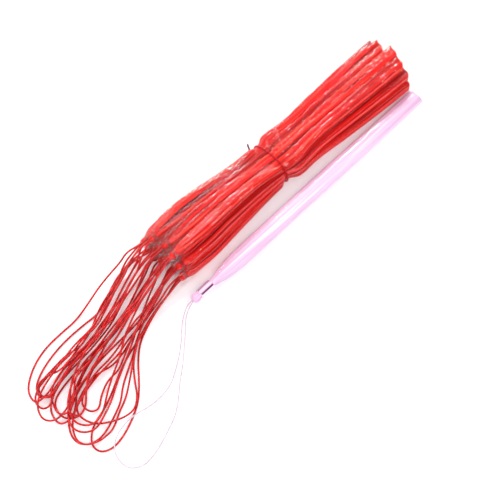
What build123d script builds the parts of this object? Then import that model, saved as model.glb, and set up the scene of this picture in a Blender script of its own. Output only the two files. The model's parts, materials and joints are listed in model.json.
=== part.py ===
from build123d import *
import math
import os

# A tied bundle of seventeen red tassels, and one pale pink tassel lying beside it.
# Frame: +X runs along the bundle from the heads to the cut thread ends, +Y is to the
# left of that, +Z is up, and everything rests on the surface at Z = 0.  Millimetres.

# The film sleeve that every tassel is packed in
FILM = 0.12                        # thickness of the clear film
FILM_GAP = 0.14                    # half the gap between two sleeves
THREAD_CLEARANCE = 0.13            # between the threads and their film
INSET = FILM + THREAD_CLEARANCE    # from the outside of the film to the threads

# Head of a red tassel
BALL = 1.85                        # radius of the ball, and of the bound neck
NECK = 1.55                        # radius of the threads under the binding
KNOT_AT = 1.8                      # from the end of the ball to the knot inside
KNOT_LENGTH = 2.3
KNOT_RADIUS = 0.95
BINDING_AT = 3.8
BINDING_LENGTH = 5.6
NECK_END = 9.6                     # where the skirt begins to spread
FILM_AT = 1.2                      # where the film begins, behind the ball's end

# Loop cords
CORD = 0.8                         # diameter of a red loop cord
LOOSE_CORD = 0.5                   # diameter of the pink loop cord
BEND_SHARE = 0.45                  # share of the shorter run that each bend takes

# The bundle lies in four rows, from the surface up
ROWS = (5, 5, 4, 3)
WAIST = -4.7                       # where the tie goes round
FREE_WIDTHS = (0.88, 1.0, 0.86, 0.62)    # width of each row, as a share of the widest
TIED_WIDTHS = (0.69, 1.0, 0.90, 0.58)    # the same, where the tie pulls them round
TIE_REACH = 30.0                   # how far along the tie still rounds the rows

# Half width, height, middle and underside of the bundle at places along X
HALF_WIDTH = {-66: 13.3, -50: 13.7, -38: 12.9, -26: 11.7, -15: 10.5, WAIST: 9.5,
              7: 10.4, 24: 11.6, 45: 12.7, 66: 13.5}
HEIGHT = {-66: 18.4, -50: 18.0, -38: 17.2, -26: 15.8, -15: 14.2, WAIST: 13.2,
          7: 13.8, 24: 15.2, 45: 16.4, 66: 17.2}
MIDDLE = {-66: 5.0, -38: 5.5, WAIST: 5.0, 66: 4.2}
UNDERSIDE = {-66: 0.0, -50: 0.0, WAIST: 1.6, 66: 0.0}
STATIONS = (-50, -38, -26, -15, WAIST, 7, 24, 45)

# Where the threads of each tassel are cut off, row by row
CUT_ENDS = ((66.0, 64.7, 66.2, 65.3, 66.1), (64.1, 65.7, 66.5, 65.3, 65.9),
            (66.3, 67.1, 65.5, 66.1), (66.1, 68.2, 66.2))

# Wire tie round the waist, and its twisted tail
WIRE = 0.8
TIE_HALF_WIDTH = 10.0
TIE_HALF_HEIGHT = 7.1
TIE_CORNER = 5.8
TAIL = ((-4.7, 15.35, 5.2), (-4.6, 17.1, 4.9), (-4.1, 19.4, 5.5))
TAIL_BEND = 2.0
TAIL_WIRE = 0.9

# The loose pink tassel
LOOSE_END = (-68.6, -14.8, 2.3)    # end of its ball
LOOSE_TURN = 1.05                  # degrees its axis turns from +X towards +Y
LOOSE_LENGTH = 132.6
LOOSE_BALL = 2.1
LOOSE_NECK = 1.7
LOOSE_BINDING_AT = 3.9
LOOSE_BINDING_LENGTH = 6.9
LOOSE_NECK_END = 11.0
LOOSE_FILM_AT = 12.5
LOOSE_FILM = (4.2, 2.3)            # half width and half height of its flat film sleeve
LOOSE_SKIRT = {16: (2.9, 1.9), 23: (3.8, 2.0), 40: (3.9, 2.0), 86: (3.9, 2.0),
               LOOSE_LENGTH: (3.8, 1.95)}

# Routes of the loop cords: out of the head, round the loop and back into the head
LOOPS = (
    (
        (-63.9, -4.0, 2.3), (-67.1, -3.9, 2.3), (-72.5, -5.5, 1.5), (-78.0, -6.5, 0.5),
        (-84.0, -8.0, 0.4), (-90.5, -10.5, 0.4), (-97.0, -12.0, 0.4), (-103.5, -14.0, 0.4),
        (-110.5, -17.0, 0.4), (-117.0, -20.5, 0.4), (-124.0, -23.5, 0.4), (-130.5, -25.0, 0.4),
        (-135.5, -28.5, 0.4), (-137.5, -32.5, 0.4), (-136.0, -36.0, 0.4), (-131.5, -37.5, 0.4),
        (-125.5, -36.5, 0.4), (-118.0, -33.5, 0.4), (-112.0, -30.0, 0.4), (-106.5, -24.5, 0.4),
        (-101.5, -18.5, 0.4), (-95.5, -13.0, 0.4), (-89.0, -10.0, 0.4), (-82.0, -7.5, 0.4),
        (-75.5, -6.0, 0.9), (-71.0, -5.5, 1.7), (-67.1, -4.9, 2.3), (-63.9, -4.8, 2.3),
    ),
    (
        (-65.1, 0.7, 2.3), (-68.3, 0.8, 2.3), (-73.0, -1.0, 1.5), (-79.5, -2.5, 0.5),
        (-86.0, -5.0, 0.4), (-93.0, -6.5, 1.4), (-100.5, -6.5, 0.4), (-108.0, -7.0, 0.4),
        (-115.5, -8.0, 0.4), (-122.0, -9.5, 0.4), (-129.5, -12.5, 0.4), (-135.5, -16.0, 0.4),
        (-139.5, -21.0, 0.4), (-140.5, -25.5, 0.4), (-139.0, -29.5, 1.4), (-134.5, -31.5, 1.4),
        (-129.0, -30.5, 0.4), (-122.5, -28.0, 0.4), (-117.0, -25.5, 0.4), (-112.5, -21.5, 0.4),
        (-106.5, -18.0, 0.4), (-100.5, -15.0, 1.4), (-95.0, -11.0, 1.4), (-88.5, -7.5, 0.4),
        (-81.5, -5.0, 0.4), (-74.5, -3.0, 1.2), (-71.5, -1.5, 1.9), (-68.3, -0.2, 2.3),
        (-65.1, -0.1, 2.3),
    ),
    (
        (-64.3, 5.4, 2.3), (-67.5, 5.5, 2.3), (-73.0, 5.0, 1.5), (-79.5, 3.5, 0.5), (-86.5, 1.5, 0.4),
        (-94.5, -2.0, 0.4), (-103.0, -3.5, 0.7), (-112.0, -4.5, 1.4), (-121.0, -4.5, 1.1),
        (-129.0, -5.5, 0.4), (-135.0, -7.5, 0.4), (-137.0, -11.0, 0.4), (-137.5, -15.0, 1.4),
        (-135.5, -18.0, 1.4), (-131.5, -19.0, 0.4), (-127.0, -17.0, 0.4), (-123.0, -12.0, 0.7),
        (-116.5, -8.5, 1.4), (-109.0, -6.5, 1.3), (-101.0, -5.0, 0.4), (-93.0, -2.5, 0.4),
        (-85.5, 0.5, 0.4), (-77.5, 3.0, 0.6), (-72.5, 4.0, 1.6), (-67.5, 4.5, 2.3), (-64.3, 4.6, 2.3),
    ),
    (
        (-65.7, 10.1, 2.3), (-68.9, 10.2, 2.3), (-74.0, 8.5, 1.5), (-80.5, 7.0, 0.5),
        (-87.5, 5.0, 1.2), (-95.5, 1.5, 1.0), (-102.5, -0.5, 1.9), (-111.0, -2.0, 2.1),
        (-119.0, -2.0, 0.4), (-127.0, -3.0, 0.4), (-134.0, -5.0, 0.4), (-138.5, -9.0, 0.4),
        (-140.0, -13.0, 0.4), (-140.0, -16.5, 1.3), (-137.5, -18.0, 2.2), (-134.0, -17.5, 2.2),
        (-130.0, -14.5, 1.4), (-126.0, -10.5, 1.4), (-119.5, -7.0, 1.1), (-112.0, -5.0, 2.1),
        (-104.5, -3.5, 2.1), (-96.5, -1.5, 1.3), (-89.0, 1.0, 1.2), (-81.5, 4.5, 0.4),
        (-74.5, 6.5, 1.3), (-68.9, 9.2, 2.3), (-65.7, 9.3, 2.3),
    ),
    (
        (-64.7, 14.8, 2.3), (-67.9, 14.9, 2.3), (-73.5, 15.5, 1.4), (-79.5, 15.0, 0.5),
        (-86.0, 13.0, 0.4), (-92.0, 10.0, 0.4), (-98.5, 8.0, 0.4), (-105.5, 8.5, 0.4),
        (-114.0, 8.5, 0.4), (-122.0, 7.5, 0.4), (-129.5, 5.5, 0.4), (-135.5, 2.5, 0.4),
        (-137.5, -0.5, 0.4), (-137.0, -3.5, 1.1), (-134.5, -5.0, 1.3), (-130.5, -3.5, 1.3),
        (-124.0, -2.5, 1.3), (-117.0, -0.5, 1.3), (-109.5, 1.0, 0.4), (-102.0, 3.5, 0.4),
        (-93.0, 5.5, 0.4), (-85.0, 9.0, 0.4), (-76.5, 12.0, 0.8), (-72.0, 13.0, 1.7),
        (-67.9, 13.9, 2.3), (-64.7, 14.0, 2.3),
    ),
    (
        (-64.9, -5.2, 6.9), (-68.1, -5.1, 6.9), (-72.0, -5.0, 5.8), (-77.0, -6.0, 3.6),
        (-82.5, -6.5, 1.9), (-88.5, -8.0, 1.6), (-94.5, -9.0, 2.1), (-101.5, -11.5, 1.8),
        (-109.0, -12.5, 0.4), (-116.0, -11.0, 1.6), (-123.0, -12.0, 1.6), (-129.0, -14.5, 2.2),
        (-132.5, -17.5, 2.1), (-132.5, -22.0, 1.6), (-130.0, -26.5, 1.4), (-125.5, -29.5, 1.4),
        (-121.0, -31.5, 1.3), (-116.0, -32.0, 1.1), (-111.5, -29.0, 1.1), (-107.5, -23.0, 1.1),
        (-103.0, -17.5, 1.5), (-97.0, -13.0, 2.4), (-91.5, -10.5, 1.6), (-84.5, -8.0, 1.5),
        (-78.5, -7.0, 2.7), (-72.0, -7.0, 5.7), (-68.1, -6.1, 6.9), (-64.9, -6.0, 6.9),
    ),
    (
        (-63.7, 0.1, 6.9), (-66.9, 0.2, 6.9), (-70.0, -1.0, 6.2), (-73.0, -2.0, 4.9),
        (-78.5, -3.0, 3.1), (-85.0, -5.5, 3.0), (-91.5, -8.5, 2.9), (-98.5, -9.5, 3.1),
        (-105.0, -11.5, 2.9), (-112.5, -11.5, 2.1), (-120.0, -12.5, 2.1), (-126.5, -14.5, 3.1),
        (-133.0, -17.0, 3.1), (-138.0, -21.0, 2.9), (-140.5, -26.5, 2.1), (-138.5, -30.5, 2.1),
        (-133.5, -32.5, 2.1), (-127.0, -32.0, 0.4), (-121.0, -28.5, 0.4), (-115.0, -26.0, 0.4),
        (-109.0, -22.0, 2.0), (-103.0, -17.5, 2.7), (-97.0, -13.5, 3.1), (-91.0, -9.0, 2.9),
        (-84.0, -6.5, 3.1), (-77.5, -4.5, 2.5), (-72.0, -2.5, 5.1), (-66.9, -0.8, 6.9),
        (-63.7, -0.7, 6.9),
    ),
    (
        (-65.9, 5.4, 6.9), (-69.1, 5.5, 6.9), (-72.0, 4.5, 6.2), (-75.0, 3.0, 4.8), (-81.5, 1.0, 1.9),
        (-88.5, -2.0, 5.1), (-96.5, -3.0, 2.9), (-105.0, -3.5, 2.9), (-112.5, -4.5, 2.9),
        (-119.5, -7.0, 2.6), (-125.5, -9.5, 2.1), (-132.0, -13.0, 2.2), (-136.5, -17.0, 3.8),
        (-138.5, -22.0, 3.8), (-136.5, -26.0, 3.0), (-132.0, -28.0, 2.4), (-126.0, -26.0, 2.1),
        (-119.5, -23.0, 1.0), (-113.0, -19.0, 1.1), (-106.0, -15.5, 1.4), (-98.0, -12.0, 4.0),
        (-91.0, -8.0, 5.1), (-84.0, -3.5, 1.5), (-77.5, -0.5, 2.9), (-72.5, 1.0, 5.4),
        (-69.1, 4.5, 6.9), (-65.9, 4.6, 6.9),
    ),
    (
        (-64.5, 10.8, 6.9), (-67.7, 10.9, 6.9), (-73.0, 13.5, 4.9), (-79.5, 13.5, 2.1),
        (-86.0, 11.5, 0.8), (-93.0, 9.0, 2.0), (-99.5, 5.5, 2.5), (-106.5, 4.0, 1.7),
        (-112.5, 2.0, 1.2), (-119.5, 3.0, 2.3), (-126.0, 3.0, 0.4), (-131.5, 2.5, 0.4),
        (-136.0, 0.5, 1.8), (-137.5, -2.5, 1.9), (-136.5, -5.0, 1.9), (-134.0, -6.0, 1.7),
        (-128.5, -4.0, 2.3), (-121.5, -2.0, 2.3), (-114.0, -1.0, 2.0), (-106.5, -0.5, 2.2),
        (-98.0, 1.5, 3.3), (-89.5, 4.5, 2.0), (-82.0, 8.0, 2.4), (-74.5, 9.5, 4.6), (-71.0, 10.0, 6.1),
        (-67.7, 9.9, 6.9), (-64.5, 10.0, 6.9),
    ),
    (
        (-65.3, 16.1, 6.9), (-68.5, 16.2, 6.9), (-73.0, 18.0, 5.4), (-77.5, 17.0, 4.0),
        (-83.0, 17.0, 2.1), (-90.5, 15.5, 2.5), (-98.5, 13.5, 1.4), (-106.0, 12.0, 0.4),
        (-114.5, 12.0, 0.4), (-123.0, 11.5, 0.4), (-131.0, 9.0, 0.4), (-138.0, 4.5, 0.4),
        (-140.5, 0.5, 0.4), (-140.5, -3.0, 0.4), (-138.0, -4.5, 2.8), (-134.0, -4.0, 2.8),
        (-128.5, -1.5, 0.6), (-122.0, 0.5, 0.4), (-114.0, 2.5, 0.4), (-106.0, 4.0, 0.4),
        (-98.0, 8.0, 2.4), (-90.5, 10.5, 2.5), (-83.0, 12.5, 2.4), (-76.0, 14.0, 5.0),
        (-72.0, 14.5, 6.1), (-68.5, 15.2, 6.9), (-65.3, 15.3, 6.9),
    ),
    (
        (-64.3, -3.2, 11.5), (-67.5, -3.1, 11.5), (-73.5, -3.5, 9.3), (-79.5, -4.0, 5.7),
        (-86.0, -6.0, 5.7), (-93.0, -7.0, 6.7), (-100.5, -9.0, 4.1), (-108.0, -9.5, 0.4),
        (-115.5, -10.5, 2.3), (-122.0, -12.5, 3.9), (-127.0, -15.0, 4.0), (-129.5, -17.5, 3.0),
        (-128.5, -21.0, 1.3), (-125.0, -22.0, 0.4), (-121.0, -18.5, 0.4), (-115.0, -16.0, 1.8),
        (-109.0, -15.5, 0.4), (-102.5, -12.5, 1.6), (-96.0, -10.5, 6.0), (-89.0, -8.0, 6.2),
        (-82.5, -6.0, 5.6), (-76.0, -4.5, 7.7), (-71.5, -4.5, 10.3), (-67.5, -4.1, 11.5),
        (-64.3, -4.0, 11.5),
    ),
    (
        (-65.5, 2.6, 11.5), (-68.7, 2.7, 11.5), (-72.0, 2.0, 10.7), (-75.0, 2.0, 9.2),
        (-81.0, 0.5, 5.7), (-87.5, -1.5, 6.5), (-95.0, -3.0, 6.4), (-103.0, -5.0, 6.3),
        (-110.5, -6.5, 2.3), (-118.0, -9.0, 2.3), (-124.5, -10.5, 2.8), (-131.0, -13.0, 3.8),
        (-135.5, -17.0, 3.9), (-136.0, -21.5, 3.9), (-133.5, -24.5, 2.4), (-130.0, -26.0, 2.4),
        (-124.5, -24.0, 1.4), (-119.0, -20.0, 2.1), (-112.5, -16.0, 2.1), (-106.5, -13.5, 3.9),
        (-99.0, -9.0, 7.6), (-91.5, -5.0, 5.7), (-84.5, -2.5, 7.0), (-78.5, -1.0, 6.9),
        (-72.5, 0.0, 10.2), (-68.7, 1.7, 11.5), (-65.5, 1.8, 11.5),
    ),
    (
        (-63.9, 8.3, 11.5), (-67.1, 8.4, 11.5), (-70.5, 8.5, 10.7), (-73.5, 8.5, 9.2),
        (-79.5, 7.5, 5.5), (-86.0, 5.5, 3.7), (-93.5, 2.5, 4.1), (-102.5, 0.5, 4.0),
        (-111.5, -0.5, 3.8), (-119.5, -0.5, 2.7), (-127.5, -1.5, 3.1), (-134.0, -4.5, 3.1),
        (-136.5, -8.5, 3.1), (-138.0, -12.5, 2.2), (-137.0, -16.0, 4.5), (-133.0, -16.0, 4.9),
        (-128.5, -12.0, 4.5), (-124.0, -7.5, 4.3), (-117.0, -4.5, 3.5), (-109.0, -4.0, 3.8),
        (-101.0, -2.0, 4.0), (-92.0, -0.5, 3.9), (-84.5, 2.0, 3.6), (-78.5, 4.5, 5.7),
        (-72.5, 6.5, 9.4), (-67.1, 7.4, 11.5), (-63.9, 7.5, 11.5),
    ),
    (
        (-65.9, 14.0, 11.5), (-69.1, 14.1, 11.5), (-72.5, 14.0, 10.6), (-77.5, 14.0, 7.9),
        (-83.0, 12.0, 4.4), (-88.0, 9.5, 2.0), (-95.0, 7.0, 0.9), (-102.5, 3.5, 2.3),
        (-110.5, 2.5, 5.5), (-117.5, 1.0, 4.6), (-124.5, 1.5, 3.2), (-132.0, 1.0, 2.6),
        (-138.0, -0.5, 2.6), (-141.0, -3.5, 2.3), (-141.0, -7.0, 1.6), (-138.5, -9.0, 3.2),
        (-135.0, -7.5, 4.5), (-131.5, -5.0, 3.5), (-127.5, -3.5, 3.2), (-120.0, -1.5, 3.9),
        (-112.5, -0.5, 5.1), (-104.5, 1.0, 4.7), (-96.5, 3.5, 1.1), (-89.0, 7.0, 1.4),
        (-82.0, 9.0, 4.4), (-75.0, 10.0, 8.9), (-72.0, 11.5, 10.6), (-69.1, 13.1, 11.5),
        (-65.9, 13.2, 11.5),
    ),
    (
        (-64.7, -0.1, 16.1), (-67.9, 0.0, 16.1), (-71.0, 0.5, 15.3), (-74.0, -0.5, 13.9),
        (-80.5, -1.0, 9.8), (-86.5, -2.5, 9.5), (-93.5, -3.0, 11.2), (-102.0, -5.0, 7.0),
        (-110.0, -5.5, 4.7), (-117.5, -6.5, 4.3), (-125.5, -8.0, 5.4), (-130.5, -11.0, 3.8),
        (-134.0, -14.5, 5.6), (-135.5, -18.0, 5.6), (-133.0, -20.5, 4.6), (-129.0, -19.0, 4.1),
        (-124.5, -14.5, 4.8), (-119.0, -10.0, 6.1), (-111.0, -8.0, 5.4), (-103.0, -7.5, 5.5),
        (-95.0, -6.0, 11.9), (-88.0, -4.0, 8.8), (-81.5, -2.5, 10.4), (-74.5, -2.0, 13.5),
        (-71.0, -1.5, 15.2), (-67.9, -1.0, 16.1), (-64.7, -0.9, 16.1),
    ),
    (
        (-63.5, 5.4, 16.1), (-66.7, 5.5, 16.1), (-70.0, 6.0, 15.2), (-73.5, 6.5, 13.4),
        (-79.0, 6.5, 9.8), (-84.5, 5.5, 6.6), (-91.0, 4.0, 5.3), (-98.0, 2.0, 5.4),
        (-104.5, -0.5, 4.5), (-112.0, -1.0, 5.8), (-119.0, -0.5, 5.6), (-125.5, -1.0, 3.8),
        (-130.0, 1.0, 3.5), (-134.0, 1.0, 4.1), (-137.0, 0.0, 3.6), (-139.0, -3.5, 3.5),
        (-136.5, -6.5, 5.0), (-132.0, -6.0, 5.0), (-127.0, -4.0, 4.3), (-120.0, -2.5, 5.4),
        (-112.5, -2.0, 5.8), (-104.0, -1.0, 4.8), (-96.0, 1.5, 5.4), (-88.5, 3.0, 6.1),
        (-82.5, 4.5, 7.2), (-76.0, 4.5, 11.7), (-71.0, 5.0, 14.8), (-66.7, 4.5, 16.1),
        (-63.5, 4.6, 16.1),
    ),
    (
        (-65.1, 11.0, 16.1), (-68.3, 11.1, 16.1), (-72.5, 11.0, 14.8), (-76.5, 11.5, 12.5),
        (-81.0, 9.5, 10.2), (-86.0, 8.0, 9.4), (-92.0, 7.0, 6.3), (-99.0, 5.0, 5.2),
        (-107.0, 2.0, 7.8), (-115.0, 2.0, 7.2), (-123.0, 1.0, 5.0), (-131.0, -0.5, 4.3),
        (-138.0, -3.0, 4.7), (-142.0, -6.0, 4.7), (-143.5, -9.5, 1.3), (-142.0, -13.0, 1.6),
        (-139.0, -14.5, 2.1), (-135.0, -14.0, 2.1), (-131.0, -12.0, 0.4), (-126.5, -7.5, 2.0),
        (-120.5, -4.5, 3.9), (-113.5, -2.5, 6.7), (-106.0, -1.5, 8.6), (-98.5, 0.0, 5.5),
        (-90.5, 2.0, 6.7), (-84.0, 4.5, 11.0), (-78.0, 6.0, 11.5), (-74.0, 8.0, 14.6),
        (-71.0, 9.0, 15.3), (-68.3, 10.1, 16.1), (-65.1, 10.2, 16.1),
    ),
)

LOOSE_LOOP = (
    (-66.8, -14.53, 2.3), (-69.8, -14.53, 2.3), (-72.5, -15.0, 1.3), (-77.5, -18.0, 0.5),
    (-82.5, -23.0, 0.25), (-87.5, -27.0, 0.25), (-93.5, -31.0, 0.25), (-99.0, -34.0, 0.25),
    (-105.5, -35.0, 0.25), (-111.5, -34.5, 0.25), (-117.0, -33.5, 1.15), (-122.0, -33.5, 1.15),
    (-127.0, -34.5, 1.15), (-131.5, -37.0, 1.15), (-134.0, -41.5, 1.15), (-134.0, -45.5, 0.25),
    (-132.5, -48.5, 0.25), (-129.0, -50.5, 0.25), (-125.0, -50.5, 0.25), (-120.0, -49.5, 0.25),
    (-113.0, -47.0, 0.25), (-106.5, -44.5, 0.25), (-101.0, -40.5, 0.25), (-95.5, -35.5, 0.25),
    (-89.5, -31.0, 0.25), (-85.0, -27.0, 0.25), (-80.0, -22.5, 0.5), (-75.5, -18.0, 1.3),
    (-69.8, -15.07, 2.3), (-66.8, -15.07, 2.3),
)


def along(table, x):
    """A value between those given at the places on either side of x."""
    places = sorted(table)
    x = min(max(x, places[0]), places[-1])
    for near, far in zip(places, places[1:]):
        if x <= far:
            share = (x - near) / (far - near)
            return table[near] + share * (table[far] - table[near])


def film_section(row, place, x):
    """Middle and half sizes of one tassel's film where the plane at x cuts it."""
    tied = max(0.0, 1 - abs(x - WAIST) / TIE_REACH)
    share = FREE_WIDTHS[row] + (TIED_WIDTHS[row] - FREE_WIDTHS[row]) * tied
    row_half = along(HALF_WIDTH, x) * share
    count = ROWS[row]
    y = along(MIDDLE, x) + row_half * ((2 * place + 1) / count - 1)
    row_height = (along(HEIGHT, x) + 2 * FILM_GAP) / len(ROWS)
    z = along(UNDERSIDE, x) + row_height * (row + 0.5) - FILM_GAP
    return y, z, row_half / count - FILM_GAP, row_height / 2 - FILM_GAP


def finish(part, name):
    part.label = name
    export_step(part, f"parts/{name}.step")


def film_sleeve(axis, sections):
    """Thin tube of clear film that runs through the given sections."""
    with BuildPart() as film:
        for at, y, z, half_y, half_z in sections:
            with BuildSketch(axis.offset(at)):
                with Locations((y, z)):
                    Ellipse(half_y, half_z)
                    Ellipse(half_y - FILM, half_z - FILM, mode=Mode.SUBTRACT)
        loft(ruled=True)
    return film.part


def tassel_threads(axis, middle, head_end, ball, neck, neck_end, cord, sections):
    """Threads of one tassel, folded over a knotted cord: ball, neck and skirt."""
    with BuildPart() as threads:
        with Locations(axis.from_local_coords((*middle, head_end + ball))):
            Sphere(ball)
        with BuildSketch(axis.offset(head_end + ball)):
            with Locations(middle):
                Circle(neck)
        extrude(amount=neck_end - ball)
        with BuildSketch(axis.offset(head_end + neck_end)):
            with Locations(middle):
                Circle(neck)
        for at, y, z, half_y, half_z in sections:
            with BuildSketch(axis.offset(at)):
                with Locations((y, z)):
                    Ellipse(half_y, half_z)
        loft(ruled=True)
        # hole for the two strands of the loop, and the pocket of their knot
        with BuildSketch(axis.offset(head_end - 1)):
            with Locations(middle):
                SlotOverall(2 * cord + 0.2, cord + 0.12)
        extrude(amount=1 + KNOT_AT, mode=Mode.SUBTRACT)
        with BuildSketch(axis.offset(head_end + KNOT_AT)):
            with Locations(middle):
                Circle(KNOT_RADIUS + 0.1)
        extrude(amount=KNOT_LENGTH + 0.3, mode=Mode.SUBTRACT)
    return threads.part


def loop_cord(points, diameter, name):
    """One cord, swept along straight runs that are joined by tangent arcs."""
    corners = [Vector(*point) for point in points]
    radii = []
    for before, here, after in zip(corners, corners[1:], corners[2:]):
        run_in = here - before
        run_out = after - here
        half_turn = math.radians(run_in.get_angle(run_out)) / 2
        shorter = min(run_in.length, run_out.length)
        radii.append(BEND_SHARE * shorter / math.tan(half_turn))
    with BuildPart() as cord:
        with BuildLine() as route:
            FilletPolyline(*corners, radius=radii)
        with BuildSketch(Plane(corners[0], z_dir=corners[1] - corners[0])):
            Circle(diameter / 2)
        sweep(path=route.line)
    length = sum(edge.length for edge in route.edges())
    drift = cord.part.volume / (math.pi * diameter ** 2 / 4 * length) - 1
    print(f"{name}: {length:.1f} mm long, volume {drift:+.2%} of section times length")
    print("  radii", " ".join(f"{radius:.1f}" for radius in radii))
    finish(cord.part, name)


os.makedirs("parts", exist_ok=True)

# ---- the seventeen red tassels -------------------------------------------------------
bundle_axis = Plane.YZ
head_places = []
number = 0
for row, count in enumerate(ROWS):
    for place in range(count):
        route = LOOPS[number]
        number += 1
        head_end = route[0][0] - KNOT_AT
        head = ((route[0][1] + route[-1][1]) / 2, route[0][2])
        head_places.append((head_end, head))
        stations = STATIONS + (CUT_ENDS[row][place],)

        around_skirt = [(x, *film_section(row, place, x)) for x in stations]
        skirt = [(x, y, z, half_y - INSET, half_z - INSET)
                 for x, y, z, half_y, half_z in around_skirt]
        threads = tassel_threads(bundle_axis, head, head_end, BALL, NECK, NECK_END,
                                 CORD, skirt)
        finish(threads, f"thread_skirt_{number:02d}")

        around_head = [(head_end + at, *head, BALL + INSET, BALL + INSET)
                       for at in (FILM_AT, NECK_END)]
        film = film_sleeve(bundle_axis, around_head + around_skirt)
        finish(film, f"film_sleeve_{number:02d}")

        loop_cord(route, CORD, f"hang_loop_{number:02d}")

# ---- small pieces of the red heads, each a group of separate solids --------------------
with BuildPart() as bindings:
    for head_end, head in head_places:
        with BuildSketch(bundle_axis.offset(head_end + BINDING_AT)):
            with Locations(head):
                Circle(BALL)
                Circle(NECK, mode=Mode.SUBTRACT)
        extrude(amount=BINDING_LENGTH)
finish(bindings.part, "neck_bindings")

with BuildPart() as knots:
    for head_end, head in head_places:
        with BuildSketch(bundle_axis.offset(head_end + KNOT_AT)):
            with Locations(head):
                Circle(KNOT_RADIUS)
        extrude(amount=KNOT_LENGTH)
finish(knots.part, "cord_knots")

# ---- tie -------------------------------------------------------------------------------
tie_middle = (along(MIDDLE, WAIST), along(UNDERSIDE, WAIST) + along(HEIGHT, WAIST) / 2)
with BuildPart() as tie:
    with BuildSketch(bundle_axis.offset(WAIST)) as tie_shape:
        with Locations(tie_middle):
            RectangleRounded(2 * TIE_HALF_WIDTH, 2 * TIE_HALF_HEIGHT, TIE_CORNER)
    tie_path = tie_shape.sketch.faces()[0].outer_wire()
    tie.pending_faces.clear()
    with BuildSketch(Plane(tie_path @ 0, z_dir=tie_path % 0)):
        Circle(WIRE / 2)
    sweep(path=tie_path)
finish(tie.part, "tie_ring")

with BuildPart() as tail:
    with BuildLine() as tail_path:
        FilletPolyline(*TAIL, radius=TAIL_BEND)
    with BuildSketch(Plane(tail_path.line @ 0, z_dir=tail_path.line % 0)):
        Circle(TAIL_WIRE / 2)
    sweep(path=tail_path.line)
finish(tail.part, "tie_tail")

# ---- the loose pink tassel ---------------------------------------------------------------
turn = math.radians(LOOSE_TURN)
loose_axis = Plane(LOOSE_END, x_dir=(-math.sin(turn), math.cos(turn), 0),
                   z_dir=(math.cos(turn), math.sin(turn), 0))
skirt = [(at, 0, 0, *LOOSE_SKIRT[at]) for at in sorted(LOOSE_SKIRT)]
loose_threads = tassel_threads(loose_axis, (0, 0), 0, LOOSE_BALL, LOOSE_NECK,
                               LOOSE_NECK_END, LOOSE_CORD, skirt)
finish(loose_threads, "loose_thread_skirt")

loose_film = film_sleeve(loose_axis, [(at, 0, 0, *LOOSE_FILM)
                                      for at in (LOOSE_FILM_AT, LOOSE_LENGTH)])
finish(loose_film, "loose_film_sleeve")

with BuildPart() as loose_binding:
    with BuildSketch(loose_axis.offset(LOOSE_BINDING_AT)):
        Circle(LOOSE_BALL)
        Circle(LOOSE_NECK, mode=Mode.SUBTRACT)
    extrude(amount=LOOSE_BINDING_LENGTH)
finish(loose_binding.part, "loose_neck_binding")

with BuildPart() as loose_knot:
    with BuildSketch(loose_axis.offset(KNOT_AT + 0.05)):
        Circle(KNOT_RADIUS)
    extrude(amount=KNOT_LENGTH)
finish(loose_knot.part, "loose_cord_knot")

loop_cord(LOOSE_LOOP, LOOSE_CORD, "loose_hang_loop")
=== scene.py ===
import json
import math

import bpy
import numpy as np
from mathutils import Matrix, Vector, noise


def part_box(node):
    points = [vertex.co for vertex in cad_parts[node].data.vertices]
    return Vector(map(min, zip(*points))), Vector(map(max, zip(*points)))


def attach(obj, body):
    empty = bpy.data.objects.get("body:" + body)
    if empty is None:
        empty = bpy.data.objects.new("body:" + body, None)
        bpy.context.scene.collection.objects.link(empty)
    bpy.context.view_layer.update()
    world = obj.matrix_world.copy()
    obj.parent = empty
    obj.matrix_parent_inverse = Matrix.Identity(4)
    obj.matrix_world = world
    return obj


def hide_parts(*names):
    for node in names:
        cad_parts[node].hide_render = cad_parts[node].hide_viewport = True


# A tied bundle of seventeen red tassels in clear film, and one loose pink tassel beside it.
# +X runs from the heads to the cut thread ends, +Z is up.  Metres; MM turns millimetres into them.

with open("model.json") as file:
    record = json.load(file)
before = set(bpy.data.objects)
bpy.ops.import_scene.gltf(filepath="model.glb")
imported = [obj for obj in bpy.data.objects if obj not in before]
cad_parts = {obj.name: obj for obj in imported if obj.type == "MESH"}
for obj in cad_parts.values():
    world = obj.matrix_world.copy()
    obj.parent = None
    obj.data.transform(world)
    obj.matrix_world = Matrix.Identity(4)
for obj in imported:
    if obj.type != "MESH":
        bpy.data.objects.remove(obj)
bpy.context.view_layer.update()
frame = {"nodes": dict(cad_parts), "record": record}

MM = 0.001
FULL_TURN = 2 * math.pi
UP = np.array((0.0, 0.0, 1.0))

# ---- camera ---------------------------------------------------------------------------
VIEW_MIDDLE = Vector((-0.0357, -0.0139, 0))
VIEW_AZIMUTH = math.radians(-45)
VIEW_ELEVATION = math.radians(62)
VIEW_DISTANCE = 0.7
LENS = 126


def place_camera():
    level = math.cos(VIEW_ELEVATION)
    back = Vector((math.sin(VIEW_AZIMUTH) * level, -math.cos(VIEW_AZIMUTH) * level,
                   math.sin(VIEW_ELEVATION)))
    camera = bpy.data.objects.new("camera", bpy.data.cameras.new("camera"))
    bpy.context.scene.collection.objects.link(camera)
    camera.data.lens = LENS
    camera.location = VIEW_MIDDLE + back * VIEW_DISTANCE
    camera.rotation_mode = "QUATERNION"
    camera.rotation_quaternion = (-back).to_track_quat("-Z", "Y")
    bpy.context.scene.camera = camera


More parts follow.
